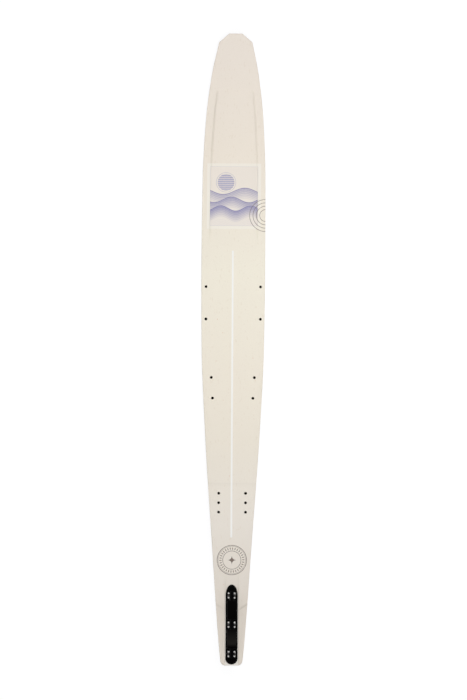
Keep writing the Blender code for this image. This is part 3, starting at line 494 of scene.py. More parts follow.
def make_stations():
    """Even stations, with more of them wherever the shape turns."""
    rounding = [DECK_ROUNDING * (1 - math.sin(math.radians(a))) for a in (90, 70, 50, 30, 15, 0)]
    corner = [TAIL_CORNER_RADIUS * (1 - math.cos(math.radians(a))) for a in range(0, 91, 10)]
    found = rounding + [LENGTH - d for d in rounding] + corner
    found += [TAIL_FACET_AT, TAIL_FACET_AT - CHANNEL_RUN_OUT, DECK_FLAT_FROM, DECK_FLAT_TO, WIDEST_AT]
    stretches = (
        (0.0, LENGTH, FINE_STEP),
        (TAIL_FALL_FROM - 2 * TAIL_FALL_SWEEP, TAIL_FALL_FROM, TAIL_FALL_RUN / 2),
        (RECESS_FADE_FROM, RECESS_FADE_TO, RECESS_FADE_STEP),
        (RECESS_TO - RECESS_RUN_OUT, RECESS_TO, RECESS_END_STEP),
        (NOSE_CORNER_AT, LENGTH - DECK_ROUNDING, NOSE_STEP),
    )
    for stretch in stretches:
        found += spread(*stretch)
    kept = []
    for s in sorted(found):
        if not kept or s - kept[-1] > LEAST_STEP:
            kept.append(s)
    return kept


STATIONS = make_stations()


def stations_between(start, end):
    inside = [s for s in STATIONS if start + LEAST_END_STEP < s < end - LEAST_END_STEP]
    return [start, *inside, end]


def deck_places(s):
    """Distances from the middle at which the deck's cross section has points."""
    half = half_width(s)
    soft = wall_rounding(s)
    inner = wall_bottom(s) - soft
    outer = wall_top(s) + soft
    spread_by = NOSE_ROUNDING_SPREAD if s > NOSE_CORNER_AT else 1.0
    wide = min(DECK_ROUNDING * spread_by, 0.8 * (half - outer))
    flat = half - wide - outer
    places = [inner * share for share in (0.0, 0.2, 0.4, 0.6, 0.8)] + [inner - min(SHADE_REACH, 0.1 * inner)]
    places += [inner + (outer - inner) * share for share in (0, 0.15, 0.3, 0.5, 0.7, 0.85, 1)]
    places += [outer + min(SHADE_REACH, 0.2 * flat)] + [outer + flat * share for share in (0.33, 0.67)]
    return places + [half - wide * (1 - math.sin(math.radians(a))) for a in (0, 20, 40, 60, 75, 90)]


def bevel_places(s):
    half = half_width(s)
    return [half - BASE_BEVEL_WIDTH, half - BASE_BEVEL_WIDTH / 2, half]


def base_places(s):
    tunnel_half = half_width(s) - BASE_RAIL_WIDTH
    places = [tunnel_half * share for share in (0, 0.15, 0.3, 0.45, 0.6, 0.72, 0.84, 0.93, 1)]
    return [*places, tunnel_half + BASE_RAIL_ROUNDING, *bevel_places(s)]


def both_sides(places):
    return [-x for x in places[:0:-1]] + places


def swept(s, x):
    """The station, moved back toward the middle so that the deck's rows run along the tail fall's crease."""
    near = eased(ramp(s, TAIL_FALL_FROM + 2 * TAIL_FALL_SWEEP, TAIL_FALL_FROM))
    near *= eased(ramp(s, TAIL_FALL_FROM - 4 * TAIL_FALL_SWEEP, TAIL_FALL_FROM - 2 * TAIL_FALL_SWEEP))
    return s - (TAIL_FALL_FROM - crease_at(s, x)) * near


def row_of(s, places, surface, lift):
    points = []
    for x in places:
        at = swept(s, x) if surface is deck_surface else s
        points.append(Vector((x, at - LENGTH / 2, surface(at, x) + lift)))
    return points


def deck_row(s, lift):
    return row_of(s, both_sides(deck_places(s)), deck_surface, lift)


def base_row(s, lift):
    return row_of(s, both_sides(base_places(s)), base_surface, lift)


def deck_layer(s, under, thickness):
    return deck_row(s, -under) + deck_row(s, -under - thickness)[::-1]


def base_layer(s, over, thickness):
    return base_row(s, over + thickness)[::-1] + base_row(s, over)


def filling(s):
    return deck_row(s, -UNDER_LAMINATE) + base_row(s, OVER_BASE_LAMINATE)[::-1]


def side_wall(s, side):
    half = half_width(s)
    inner = half - SIDEWALL
    above = [inner] + [x for x in deck_places(s) if x > half - DECK_ROUNDING - LEAST_STEP]
    below = [inner, *bevel_places(s)]
    upper = row_of(s, [side * x for x in above], deck_surface, -UNDER_LAMINATE)
    lower = row_of(s, [side * x for x in below], base_surface, OVER_BASE_LAMINATE)
    return upper + lower[::-1]


# Mesh tools


def mesh_of(bm, name):
    bmesh.ops.recalc_face_normals(bm, faces=bm.faces)
    mesh = bpy.data.meshes.new(name)
    bm.to_mesh(mesh)
    bm.free()
    return mesh


def bridge(bm, rings):
    """Adds the faces between each ring of vertices and the next."""
    count = len(rings[0])
    for ring, following in zip(rings, rings[1:]):
        for i in range(count):
            j = (i + 1) % count
            bm.faces.new(dict.fromkeys((ring[i], ring[j], following[j], following[i])))


def loft(name, rings):
    bm = bmesh.new()
    rows = [[bm.verts.new(point) for point in ring] for ring in rings]
    bridge(bm, rows)
    bm.faces.new(rows[0])
    bm.faces.new(rows[-1])
    return mesh_of(bm, name)


def lathe(name, profile):
    """A closed turned mesh from (radius, height) points that start and end on the axis."""
    bm = bmesh.new()
    angles = [math.tau * i / ROUND_STEPS for i in range(ROUND_STEPS)]
    rings = []
    for radius, height in profile:
        if radius == 0.0:
            rings.append([bm.verts.new((0, 0, height))] * ROUND_STEPS)
        else:
            rings.append([bm.verts.new((radius * math.cos(a), radius * math.sin(a), height)) for a in angles])
    bridge(bm, rings)
    return mesh_of(bm, name)


def scene_object(name, data):
    obj = bpy.data.objects.new(name, data)
    bpy.context.scene.collection.objects.link(obj)
    return obj


def evaluated_mesh(obj, name):
    bpy.context.view_layer.update()
    graph = bpy.context.evaluated_depsgraph_get()
    mesh = bpy.data.meshes.new_from_object(obj.evaluated_get(graph))
    mesh.name = name
    return mesh


def combined(mesh, others, operation="DIFFERENCE"):
    """The mesh after a Boolean with each of the others, which are then deleted."""
    obj = scene_object(mesh.name, mesh)
    cutters = [scene_object(other.name, other) for other in others]
    for cutter in cutters:
        boolean = obj.modifiers.new(cutter.name, "BOOLEAN")
        boolean.operation = operation
        boolean.solver = "EXACT"
        boolean.object = cutter
    result = evaluated_mesh(obj, mesh.name)
    for used in [obj, *cutters]:
        bpy.data.objects.remove(used)
    return result


def arc(middle, radius, start, end, count, along=None):
    """Points of an arc, angles in degrees; along is the radius in y of an ellipse's arc."""
    along = radius if along is None else along
    points = []
    for i in range(count + 1):
        angle = math.radians(start + (end - start) * i / count)
        points.append((middle[0] + radius * math.cos(angle), middle[1] + along * math.sin(angle)))
    return points


def plate(name, splines, low, high, rounding=0.0):
    """A plate between two heights, whose outline and holes are closed lists of (x, y) points."""
    curve = bpy.data.curves.new(name, "CURVE")
    curve.dimensions = "2D"
    curve.fill_mode = "BOTH"
    curve.extrude = (high - low) / 2 - rounding
    curve.bevel_depth = rounding
    curve.bevel_resolution = 2
    curve.offset = -rounding
    for points in splines:
        spline = curve.splines.new("POLY")
        spline.points.add(len(points) - 1)
        for target, (x, y) in zip(spline.points, points):
            target.co = (x, y, 0.0, 1.0)
        spline.use_cyclic_u = True
    guide = scene_object(name, curve)
    mesh = evaluated_mesh(guide, name)
    bpy.data.objects.remove(guide)
    bm = bmesh.new()
    bm.from_mesh(mesh)
    bmesh.ops.remove_doubles(bm, verts=bm.verts, dist=MERGE_DISTANCE)
    bmesh.ops.translate(bm, vec=(0, 0, (low + high) / 2), verts=bm.verts)
    return mesh_of(bm, name)


def block_mesh(name, low, high, corner=0.0, top=0.0):
    """A box with rounded upright edges and a rounded rim at the top."""
    bm = bmesh.new()
    size = [b - a for a, b in zip(low, high)]
    middle = [(a + b) / 2 for a, b in zip(low, high)]
    bmesh.ops.create_cube(bm, size=1.0, matrix=Matrix.Translation(middle) @ Matrix.Diagonal((*size, 1.0)))
    if corner:
        upright = [e for e in bm.edges if abs(e.verts[0].co.z - e.verts[1].co.z) > MERGE_DISTANCE]
        bmesh.ops.bevel(bm, geom=upright, offset=corner, segments=8, profile=0.5, affect="EDGES")
    if top:
        rim = [e for e in bm.edges if all(v.co.z > high[2] - MERGE_DISTANCE for v in e.verts)]
        bmesh.ops.bevel(bm, geom=rim, offset=top, segments=4, profile=0.5, affect="EDGES")
    return mesh_of(bm, name)


def turned_to(direction):
    """The turn that takes +Z to a direction."""
    return Vector((0, 0, 1)).rotation_difference(direction).to_matrix().to_4x4()


def cylinder(name, radius, start, end, sides=ROUND_STEPS, end_radius=None):
    bm = bmesh.new()
    span = Vector(end) - Vector(start)
    place = Matrix.Translation((Vector(start) + Vector(end)) / 2) @ turned_to(span)
    radii = {"radius1": radius, "radius2": radius if end_radius is None else end_radius}
    bmesh.ops.create_cone(bm, cap_ends=True, segments=sides, depth=span.length, matrix=place, **radii)
    return mesh_of(bm, name)


def joined(name, meshes):
    """Separate closed meshes in one mesh."""
    bm = bmesh.new()
    for mesh in meshes:
        bm.from_mesh(mesh)
    return mesh_of(bm, name)


def add_piece(name, mesh, place, body, slot, node):
    mesh.transform(place)
    mesh.materials.clear()
    mesh.materials.append(LOOKS[slot])
    mesh.shade_smooth()
    mesh.set_sharp_from_angle(angle=math.radians(SHARP_ANGLE))
    piece = scene_object(name, mesh)
    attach(piece, body)
    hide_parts(node)


# Frames of the ski, of the fin block's seat and of the block


def ski_frame():
    """The ski's own frame, from the deck mount midway between the front inserts' rows."""
    mount = next(m for m in frame["record"]["mounts"] if m["name"] == "front_binding_deck")
    across = Vector((1, 0, 0))
    normal = Vector(mount["axis"]).normalized()
    forward = normal.cross(across)
    station = sum(FRONT_ROWS) / 2
    origin = Vector(mount["pos_m"]) - normal * MID_THICKNESS - forward * (station - LENGTH / 2)
    return Matrix.Translation(origin) @ Matrix((across, forward, normal)).transposed().to_4x4()


def facet_turn(s):
    """How the deck's facet at a station is turned about the ski's x axis."""
    pitch = 0.0
    if s <= TAIL_FACET_AT:
        pitch = -math.atan2(TAIL_FACET_RISE, TAIL_FACET_AT)
    elif s <= DECK_FLAT_FROM:
        pitch = -math.atan2(REAR_FACET_RISE, DECK_FLAT_FROM - TAIL_FACET_AT)
    return Matrix.Rotation(pitch, 4, "X")


SKI = ski_frame()
TO_SKI = SKI.inverted()
SEAT_LEVEL = deck_z(BLOCK_MIDDLE) - CHANNEL_DEPTH
FIN_SEAT = SKI @ Matrix.Translation((0.0, BLOCK_MIDDLE - LENGTH / 2, SEAT_LEVEL)) @ facet_turn(BLOCK_MIDDLE)
BLOCK = FIN_SEAT @ Matrix.Translation((0.0, 0.0, CLEARANCE))
FIN_BASE = base_z(BLOCK_MIDDLE) - SEAT_LEVEL - CLEARANCE


# Materials


class Field:
    """A number that varies over a surface, made of math nodes."""

    def __init__(self, look, socket):
        self.look = look
        self.socket = socket

    def apply(self, operation, *others):
        return self.look.math(operation, self, *others)

    __add__ = partialmethod(apply, "ADD")
    __sub__ = partialmethod(apply, "SUBTRACT")
    __mul__ = partialmethod(apply, "MULTIPLY")
    __truediv__ = partialmethod(apply, "DIVIDE")
    size = partialmethod(apply, "ABSOLUTE")
    root = partialmethod(apply, "SQRT")
    most = partialmethod(apply, "MAXIMUM")
    # from 0 to the period within each period
    within = partialmethod(apply, "FLOORED_MODULO")

    def sine(self, wave):
        return (self * (math.tau / wave)).apply("SINE")

    def from_one(self, slope):
        """1 where the field is 0, changing by that slope, kept within 0 and 1."""
        return self.look.math("MULTIPLY_ADD", self, slope, 1.0, clamp=True)

    def above(self, limit, soft=PRINT_SOFTNESS):
        """1 where the field is over the limit, 0 where it is under."""
        return self.look.math("MULTIPLY_ADD", self - limit, 1.0 / soft, 0.5, clamp=True)

    def below(self, limit, soft=PRINT_SOFTNESS):
        return self.above(limit, -soft)


def feed(tree, socket, value):
    """Links a field or a node's output to the socket, or sets the socket's value."""
    source = value.socket if isinstance(value, Field) else value
    if isinstance(source, bpy.types.NodeSocket):
        tree.links.new(source, socket)
    else:
        socket.default_value = source


def add_node(tree, kind, inputs=(), **settings):
    """A shader node with its settings, and with its inputs fed by name or place."""
    node = tree.nodes.new(f"ShaderNode{kind}")
    for setting, value in settings.items():
        setattr(node, setting, value)
    for key, value in dict(inputs).items():
        feed(tree, node.inputs[key], value)
    return node


class Look:
    """A Principled material being built, with constants for its sockets."""

    def __init__(self, name, constants=()):
        self.material = bpy.data.materials.new(name)
        self.material.use_nodes = True
        self.tree = self.material.node_tree
        self.shader = self.tree.nodes["Principled BSDF"]
        for socket, value in dict(constants).items():
            self.shader.inputs[socket].default_value = value
        self.place = self.node("TexCoord").outputs["Object"]

    def node(self, kind, inputs=(), **settings):
        return add_node(self.tree, kind, inputs, **settings)

    def math(self, operation, *values, clamp=False):
        inputs = dict(enumerate(values))
        return Field(self, self.node("Math", inputs, operation=operation, use_clamp=clamp).outputs[0])

    def axes(self, origin):
        """Coordinates in another frame than the model's."""
        found = []
        for column in range(3):
            axis = origin.col[column].to_3d()
            node = self.node("VectorMath", {0: self.place, 1: axis}, operation="DOT_PRODUCT")
            found.append(Field(self, node.outputs["Value"]) - origin.translation.dot(axis))
        return found

    def noise(self, grain, detail=3.0, stretch=(1, 1, 1)):
        """Cloudy noise from 0 to 1, with grains of about that size in metres."""
        place = self.node("Mapping", {"Vector": self.place, "Scale": stretch}).outputs[0]
        inputs = {"Vector": place, "Scale": 1.0 / grain, "Detail": detail}
        return Field(self, self.node("TexNoise", inputs).outputs[0])

    def cells(self, size):
        """Distance from the nearest of points about that far apart, 1 for that size."""
        node = self.node("TexVoronoi", {"Vector": self.place, "Scale": 1.0 / size})
        return Field(self, node.outputs["Distance"])

    def mix(self, share, first, second):
        """Two colours mixed, each from another node or as display values."""
        node = self.node("Mix", {"Factor": share}, data_type="RGBA")
        # the colour sockets share their names with the float ones
        sockets = [socket for socket in node.inputs if socket.type == "RGBA"]
        for socket, colour in zip(sockets, (first, second)):
            feed(self.tree, socket, linear(*colour) if isinstance(colour, tuple) else colour)
        return next(socket for socket in node.outputs if socket.type == "RGBA")

    def cover(self, colour, *layers):
        """A colour with others laid over it in turn, each a (share, colour) pair."""
        for share, layer in layers:
            colour = self.mix(share, colour, layer)
        return colour

    def tones(self, field, stops):
        """A colour that changes evenly between (place, display colour) stops along a field from 0 to 1."""
        node = self.node("ValToRGB", {"Fac": field})
        elements = node.color_ramp.elements
        while len(elements) < len(stops):
            elements.new(0.5)
        for element, (place, colour) in zip(elements, stops):
            element.position = place
            element.color = linear(*colour)
        return node.outputs["Color"]

    def attribute(self, name):
        return Field(self, self.node("Attribute", attribute_name=name).outputs["Fac"])

    def facing(self):
        """0 where the surface is seen square on, toward 1 where it is seen edge on."""
        return Field(self, self.node("LayerWeight").outputs["Facing"])

    def finish(self, colour, roughness, relief, depth):
        """The material with its colour, its roughness and its relief, which is depth metres deep."""
        bump = self.node("Bump", {"Strength": 1.0, "Distance": depth, "Height": relief})
        inputs = {"Base Color": colour, "Roughness": roughness, "Normal": bump.outputs[0]}
        for name, value in inputs.items():
            feed(self.tree, self.shader.inputs[name], value)
        return self.material


def line_at(field, middle, width):
    """1 on a line of that width around a value of the field."""
    return (field - middle).size().below(width / 2)


def lines_at(field, lines):
    return reduce(Field.most, [line_at(field, *line) for line in lines])


def distance_to(x, s, middle):
    dx = x - middle[0]
    ds = s - middle[1]
    return (dx * dx + ds * ds).root()


def inside_panel(x, along, inset):
    across = x.size().below(PANEL_HALF_WIDTH - inset)
    return across * along.size().below(PANEL_HALF_LENGTH - inset)


def print_panel(look, x, s, colour):
    """A pale framed panel with a striped disc over three lavender swells."""
    along = s - PANEL_MIDDLE
    whole = inside_panel(x, along, 0.0)
    inner = inside_panel(x, along, PANEL_BORDER)
    grain = look.noise(0.004, 4.0)
    from_disc = distance_to(x, along, DISC_FROM_MIDDLE)
    bars = along.within(DISC_BAR_PITCH).above(DISC_BAR_GAP)
    disc = from_disc.below(DISC_RADIUS) * bars * inner
    colour = look.cover(
        colour,
        (whole * 0.5, (243, 239, 230)),
        (inner * 0.9, (233, 224, 213)),
        (disc * (grain * 0.3 + 0.62), (138, 136, 178)),
        (line_at(from_disc, *DISC_LINE) * inner * 0.55, (134, 132, 176)),
    )
    for level, height, wave, shift, ink in SWELLS:
        depth = (x + shift).sine(wave) * height + level - along
        body = depth.above(0.0) * inner
        fade = depth.from_one(-SWELL_FADE)
        hatch = depth.within(SWELL_HATCH_PITCH).below(SWELL_HATCH, 2 * PRINT_SOFTNESS)
        crest = line_at(depth, SWELL_LINE / 2, SWELL_LINE)
        colour = look.cover(
            colour,
            (body * 0.7, (234, 226, 217)),
            (body * fade * (grain * 0.4 + (ink - 0.15)), (136, 133, 174)),
            (body * hatch * (fade * 0.48 + 0.05), (120, 117, 160)),
            (crest * body * 0.8, (104, 101, 154)),
        )
    past_side = x.size() - (PANEL_HALF_WIDTH - PANEL_BORDER)
    past_end = along.size() - (PANEL_HALF_LENGTH - PANEL_BORDER)
    edge = line_at(past_side.most(past_end), 0.0, PANEL_EDGE_LINE)
    return look.mix(edge * whole * 0.45, colour, (170, 168, 190))


def print_lines(look, x, s, colour):
    """Fine grey-brown line work: ripples from the right edge, and a ticked ring near the tail."""
    ink = (88, 68, 54)
    ripples = lines_at(distance_to(x, s, RIPPLE_MIDDLE), [(radius, RIPPLE_LINE) for radius in RIPPLE_RADII])
    worn = look.noise(0.006).above(0.36, 0.12)
    along = s - RING_AT
    out = distance_to(x, along, (0.0, 0.0))
    turn = look.math("ARCTAN2", along, x) + math.pi
    ticks = turn.within(RING_TICK_TURN).below(RING_TICK_TURN * RING_TICK_SHARE, RING_TICK_SOFTNESS)
    ticks = ticks * out.above(RING_TICKS[0]) * out.below(RING_TICKS[1])
    ring = ticks.most(lines_at(out, RING_LINES))
    # a four-pointed star: its edge curves inward between the points
    star = (x.size().root() + along.size().root()).below(math.sqrt(STAR_REACH), STAR_SOFTNESS)
    shares = (ripples * (worn * 0.5 + 0.35), ring * (worn * 0.42 + 0.50), star * 0.95)
    return look.cover(colour, *[(share, ink) for share in shares])


def deck_look():
    """Cream printed topsheet with the flecks and fibres of handmade paper, under a satin lacquer; painted
    shade darkens its walls, creases, hole walls and left side, and painted light makes the tail's channel
    paler.
    """
    look = Look("topsheet_print")
    x, y, _ = look.axes(SKI)
    s = y + LENGTH / 2
    cloud = look.noise(0.09)
    fine = look.noise(0.0022, 4.0)
    fibres = look.noise(0.0045, 2.0, stretch=(1.0, 0.35, 1.0)).above(0.66, 0.05)
    specks = look.cells(0.018).below(0.060, 0.03) * look.noise(0.03, 1.0).above(0.55, 0.05)
    # painted shade: darker just behind the deck's facet edge, fading toward the tail
    behind_facet = (s - DECK_FLAT_FROM).from_one(1.0 / FACET_SHADE_RUN)
    facet_edge_shade = behind_facet * s.below(DECK_FLAT_FROM, 2 * PRINT_SOFTNESS) * 0.55
    # painted shade along the recess walls, the tail's crease and the facet edge, stronger on the left
    painted_shade = look.attribute("wall_crease_shade").most(facet_edge_shade) * (x * -0.45 + 0.085)
    stripe = s.above(STRIPE_FROM, END_SOFTNESS) * s.below(STRIPE_TO, END_SOFTNESS)
    stripe = stripe * line_at(x, STRIPE_AT, STRIPE_WIDTH)
    colour = look.cover(
        # print tone and painted shade along the ski
        look.tones(s / LENGTH, [(at / LENGTH, tone) for at, tone in DECK_TONES_AND_SHADE]),
        (cloud * 0.06, (214, 203, 186)),
        # painted shade: the left side of the deck darker
        (x * -0.35 + 0.03, (200, 190, 172)),
        (fine.above(0.56, 0.22) * 0.20, (226, 216, 200)),
        (fibres * 0.15, (205, 186, 160)),
        (specks * 0.6, (206, 142, 98)),
        (painted_shade * (cloud * 0.5 + 0.75), (120, 106, 88)),
        (stripe * 0.8, (245, 245, 243)),
    )
    colour = print_panel(look, x, s, colour)
    colour = print_lines(look, x, s, colour)
    # painted light: the channel floor beside the block lightened against the block's shade
    pale = x.size().below(CHANNEL_HALF, CHANNEL_WALL_WIDTH) * s.below(CHANNEL_PALE_TO, CHANNEL_PALE_RUN)
    bare = s.below(BARE_DECK_TO, END_SOFTNESS) * s.above(BARE_DECK_FROM, END_SOFTNESS)
    bare = bare * x.size().below(BARE_DECK_HALF, END_SOFTNESS)
    colour = look.cover(
        colour,
        (pale * 0.45, (250, 248, 243)),
        (bare, (250, 248, 243)),
        # painted shade: near black on the holes' walls and chamfers
        (look.attribute("hole_shade") * 0.97, (26, 18, 12)),
    )
    return look.finish(colour, fine * 0.12 + 0.36, fine * 0.5 + look.noise(0.012, 2.0), 0.00004)


def laminate_look():
    look = Look("glass_laminate")
    weave = look.noise(0.0008, stretch=(1, 0.15, 1))
    return look.finish(look.mix(weave, (176, 177, 160), (212, 211, 196)), 0.45, weave, 0.00003)


def foam_look():
    look = Look("foam_core")
    pores = look.cells(0.0012)
    return look.finish(look.mix(pores * 0.9, (198, 172, 118), (226, 206, 158)), 0.85, pores, 0.0002)


def wall_look():
    """Satin side wall with fine sanding marks along the ski."""
    look = Look("sidewall_satin")
    marks = look.noise(0.0009, 4.0, stretch=(1, 0.02, 1))
    colour = look.mix(look.noise(0.05, 2.0), (238, 232, 221), (243, 238, 228))
    colour = look.mix(marks * 0.25, colour, (208, 198, 182))
    return look.finish(colour, marks * 0.2 + 0.34, marks, 0.00003)


def base_look():
    """Semi-gloss base with light scratches from use, along the ski."""
    look = Look("base_gloss")
    scratches = look.noise(0.0012, 5.0, stretch=(1, 0.012, 1)).above(0.62, 0.06)
    scuffs = look.noise(0.02, 4.0, stretch=(1, 0.25, 1)).above(0.60, 0.2)
    colour = look.mix(look.noise(0.12, 2.0), (172, 168, 192), (184, 180, 203))
    colour = look.mix(scratches * 0.25, colour, (208, 205, 220))
    colour = look.mix(scuffs * 0.12, colour, (140, 136, 160))
    return look.finish(colour, scratches * 0.22 + scuffs * 0.1 + 0.2, scratches * -1.0, 0.00002)


def phenolic_look():
    look = Look("phenolic_plate")
    x, y, _ = look.axes(SKI)
    weave = x.sine(0.0018) * y.sine(0.0018) * 0.5 + 0.5
    return look.finish(look.mix(weave, (96, 58, 34), (122, 78, 48)), 0.6, weave, 0.00005)


def liner_look():
    look = Look("moulded_liner")
    grain = look.noise(0.0007)
    return look.finish(look.mix(grain, (28, 28, 29), (44, 44, 46)), 0.5, grain, 0.00004)


def brass_look():
    """Tarnished brass, painted near black down the bores as shade."""
    look = Look("machined_brass", {"Metallic": 1.0})
    tarnish = look.noise(0.0025, 4.0)
    colour = look.mix(tarnish, (30, 23, 14), (66, 50, 30))
    # painted shade: the bores darkened toward black
    colour = look.mix(look.attribute("bore_shade") * (tarnish * 0.2 + 0.85), colour, (9, 7, 5))
    return look.finish(colour, tarnish * 0.25 + 0.3, look.noise(0.0004, 2.0), 0.00002)


def anodised_look():
    """Satin black anodising, with a painted sheen on the rear boss and a painted reflection where it is seen
    edge on.
    """
    look = Look("black_anodised", {"Specular IOR Level": 0.008})
    _, y, z = look.axes(BLOCK)
    grain = look.noise(0.0006)
    patchy = look.noise(0.012)
    # painted sheen: a lighter grey patch on the rear boss
    sheen = y.below(*SHEEN_FRONT) * y.above(*SHEEN_REAR) * z.above(*SHEEN_LOWEST) * (patchy * 0.6 + 0.55)
    colour = look.mix(grain, (1, 1, 1), (3, 2, 2))
    colour = look.mix(sheen * 0.9, colour, (35, 33, 31))
    # painted reflection: lighter grey where the block is seen edge on
    colour = look.mix(look.facing() * (patchy * 0.4 + 0.6), colour, (58, 58, 60))
    return look.finish(colour, grain * 0.12 + patchy * 0.12 + 0.28, grain, 0.00002)


def steel_look():
    look = Look("blackened_steel", {"Metallic": 1.0})
    grain = look.noise(0.0005)
    return look.finish(look.mix(grain, (34, 33, 33), (62, 60, 59)), grain * 0.2 + 0.24, grain, 0.00001)


def aluminium_look():
    """Clear anodised sheet, brushed along its length."""
    look = Look("brushed_aluminium", {"Metallic": 1.0, "Anisotropic": 0.4})
    brushing = look.noise(0.0006, 5.0, stretch=(1, 0.02, 1))
    colour = look.mix(look.noise(0.03), (196, 198, 201), (212, 213, 216))
    colour = look.mix(brushing * 0.35, colour, (168, 170, 174))
    return look.finish(colour, brushing * 0.22 + 0.24, brushing, 0.00001)


LOOKS = {
    "topsheet": deck_look(),
    "laminate": laminate_look(),
    "core": foam_look(),
    "sidewall": wall_look(),
    "base": base_look(),
    "plate": phenolic_look(),
    "liner": liner_look(),
    "insert_brass": brass_look(),
    "anodised_black": anodised_look(),
    "screw_steel": steel_look(),
    "aluminium": aluminium_look(),
}


# Pieces of the ski's body


def insert_tops():
    """For each binding insert, its group and number, its top face's middle and its axis."""
    found = {}
    for group, count in BINDING_INSERTS.items():
        for number in range(1, count + 1):
            low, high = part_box(f"{group}_binding_insert_{number}")
            middle = (low + high) / 2
            turned = SKI @ facet_turn((TO_SKI @ middle).y + LENGTH / 2)
            up = turned.to_3x3() @ Vector((0, 0, 1))
            found[group, number] = (middle + up * (INSERT_LENGTH / 2), up)
    return found


INSERT_TOPS = insert_tops()


def insert_cutters(radius, low, high, end_radius=None):
    """Cutters on the binding inserts' axes, between two heights over their top faces."""
    found = []
    for top, up in INSERT_TOPS.values():
        ends = (TO_SKI @ (top + up * low), TO_SKI @ (top + up * high))
        found.append(cylinder("hole", radius, *ends, end_radius=end_radius))
    return joined("holes", found)


def slit_cutter():
    """The slit in the tail that takes the fin."""
    low = (-SLIT_HALF_WIDTH, -SLIT_HALF_LENGTH, -SLIT_DEPTH)
    mesh = block_mesh("slit", low, (SLIT_HALF_WIDTH, SLIT_HALF_LENGTH, OVERRUN))
    mesh.transform(TO_SKI @ FIN_SEAT)
    return mesh


def store(mesh, name, domain, values):
    mesh.attributes.new(name, "FLOAT", domain).data.foreach_set("value", values)


def mark_painted_shade(mesh):
    """Stores how much painted shade each point of the deck takes, along its walls and the tail's crease."""
    shade_amounts = []
    for x, y, _ in (vertex.co for vertex in mesh.vertices):
        s = min(max(y + LENGTH / 2, 0.0), LENGTH)
        soft = wall_rounding(s)
        inner = wall_bottom(s) - soft
        outer = wall_top(s) + soft
        # painted shade beside the walls and along the crease, stronger on the right
        near = ramp(abs(x), inner - SHADE_REACH, inner) * ramp(abs(x), outer + SHADE_REACH, outer - soft)
        near *= smooth_curve(SHADE_ALONG, s) * recess_depth(s) / FOREBODY_RECESS
        behind = crease_at(s, x) - s
        creased = ramp(abs(behind - CREASE_REACH / 2), CREASE_REACH, 0.0)
        creased *= ramp(abs(x), outer, outer + TAIL_FALL_RUN)
        shade_amounts.append(max(near, creased * (CREASE_SHADE_RIGHT if x > 0 else 1.0)))
    store(mesh, "wall_crease_shade", "POINT", shade_amounts)


def mark_hole_walls(mesh):
    """Marks the walls and chamfers of the deck's holes, which take a painted shade."""
    tops = [TO_SKI @ top for top, _ in INSERT_TOPS.values()]
    away = [min((vertex.co.xy - top.xy).length for top in tops) for vertex in mesh.vertices]
    shaded_faces = []
    for face in mesh.polygons:
        reach = [away[i] for i in face.vertices]
        on_wall = min(reach) < DECK_HOLE_RADIUS + DECK_HOLE_CHAMFER / 4
        shaded_faces.append(float(on_wall and max(reach) < DECK_HOLE_RADIUS + 2 * DECK_HOLE_CHAMFER))
    store(mesh, "hole_shade", "FACE", shaded_faces)


def build_layers():
    through = (-OVERRUN, OVERRUN)
    mouth = (TOPSHEET - DECK_HOLE_CHAMFER, TOPSHEET + DECK_HOLE_CHAMFER)
    wide = DECK_HOLE_RADIUS + 2 * DECK_HOLE_CHAMFER
    deck_holes = [(DECK_HOLE_RADIUS, *through), (DECK_HOLE_RADIUS, *mouth, wide)]
    necks = [(INSERT_RADIUS + CLEARANCE, *through)]
    layers = (
        ("deck_skin", deck_layer, 0.0, TOPSHEET, "topsheet", "topsheet", deck_holes),
        ("deck_laminate", deck_layer, UNDER_TOPSHEET, LAMINATE, "laminate", "top_laminate", necks),
        ("base_reinforcement", base_layer, OVER_BASE_SHEET, LAMINATE, "laminate", "base_laminate", []),
        ("base_skin", base_layer, 0.0, BASE_SHEET, "base", "base_sheet", []),
    )
    for name, layer, level, thickness, slot, node, holes in layers:
        mesh = loft(name, [layer(s, level, thickness) for s in STATIONS])
        mesh = combined(mesh, [slit_cutter(), *[insert_cutters(*hole) for hole in holes]])
        if name == "deck_skin":
            mark_painted_shade(mesh)
            mark_hole_walls(mesh)
        add_piece(name, mesh, SKI, "ski", slot, node)


def build_edges():
    """The side walls, and the blocks of the tail and of the tip between them."""
    start = TAIL_BLOCK_LENGTH + LAYER_GAP
    end = LENGTH - NOSE_BLOCK_LENGTH - LAYER_GAP
    for side, label in ((-1, "left"), (1, "right")):
        mesh = loft(f"edge_wall_{label}", [side_wall(s, side) for s in stations_between(start, end)])
        add_piece(f"edge_wall_{label}", mesh, SKI, "ski", "sidewall", f"sidewall_{label}")
    ends = (
        ("tail_spacer", 0.0, TAIL_BLOCK_LENGTH, "tail_block"),
        ("tip_spacer", LENGTH - NOSE_BLOCK_LENGTH, LENGTH, "nose_block"),
    )
    for name, low, high, node in ends:
        mesh = loft(name, [filling(s) for s in stations_between(low, high)])
        add_piece(name, mesh, SKI, "ski", "sidewall", node)


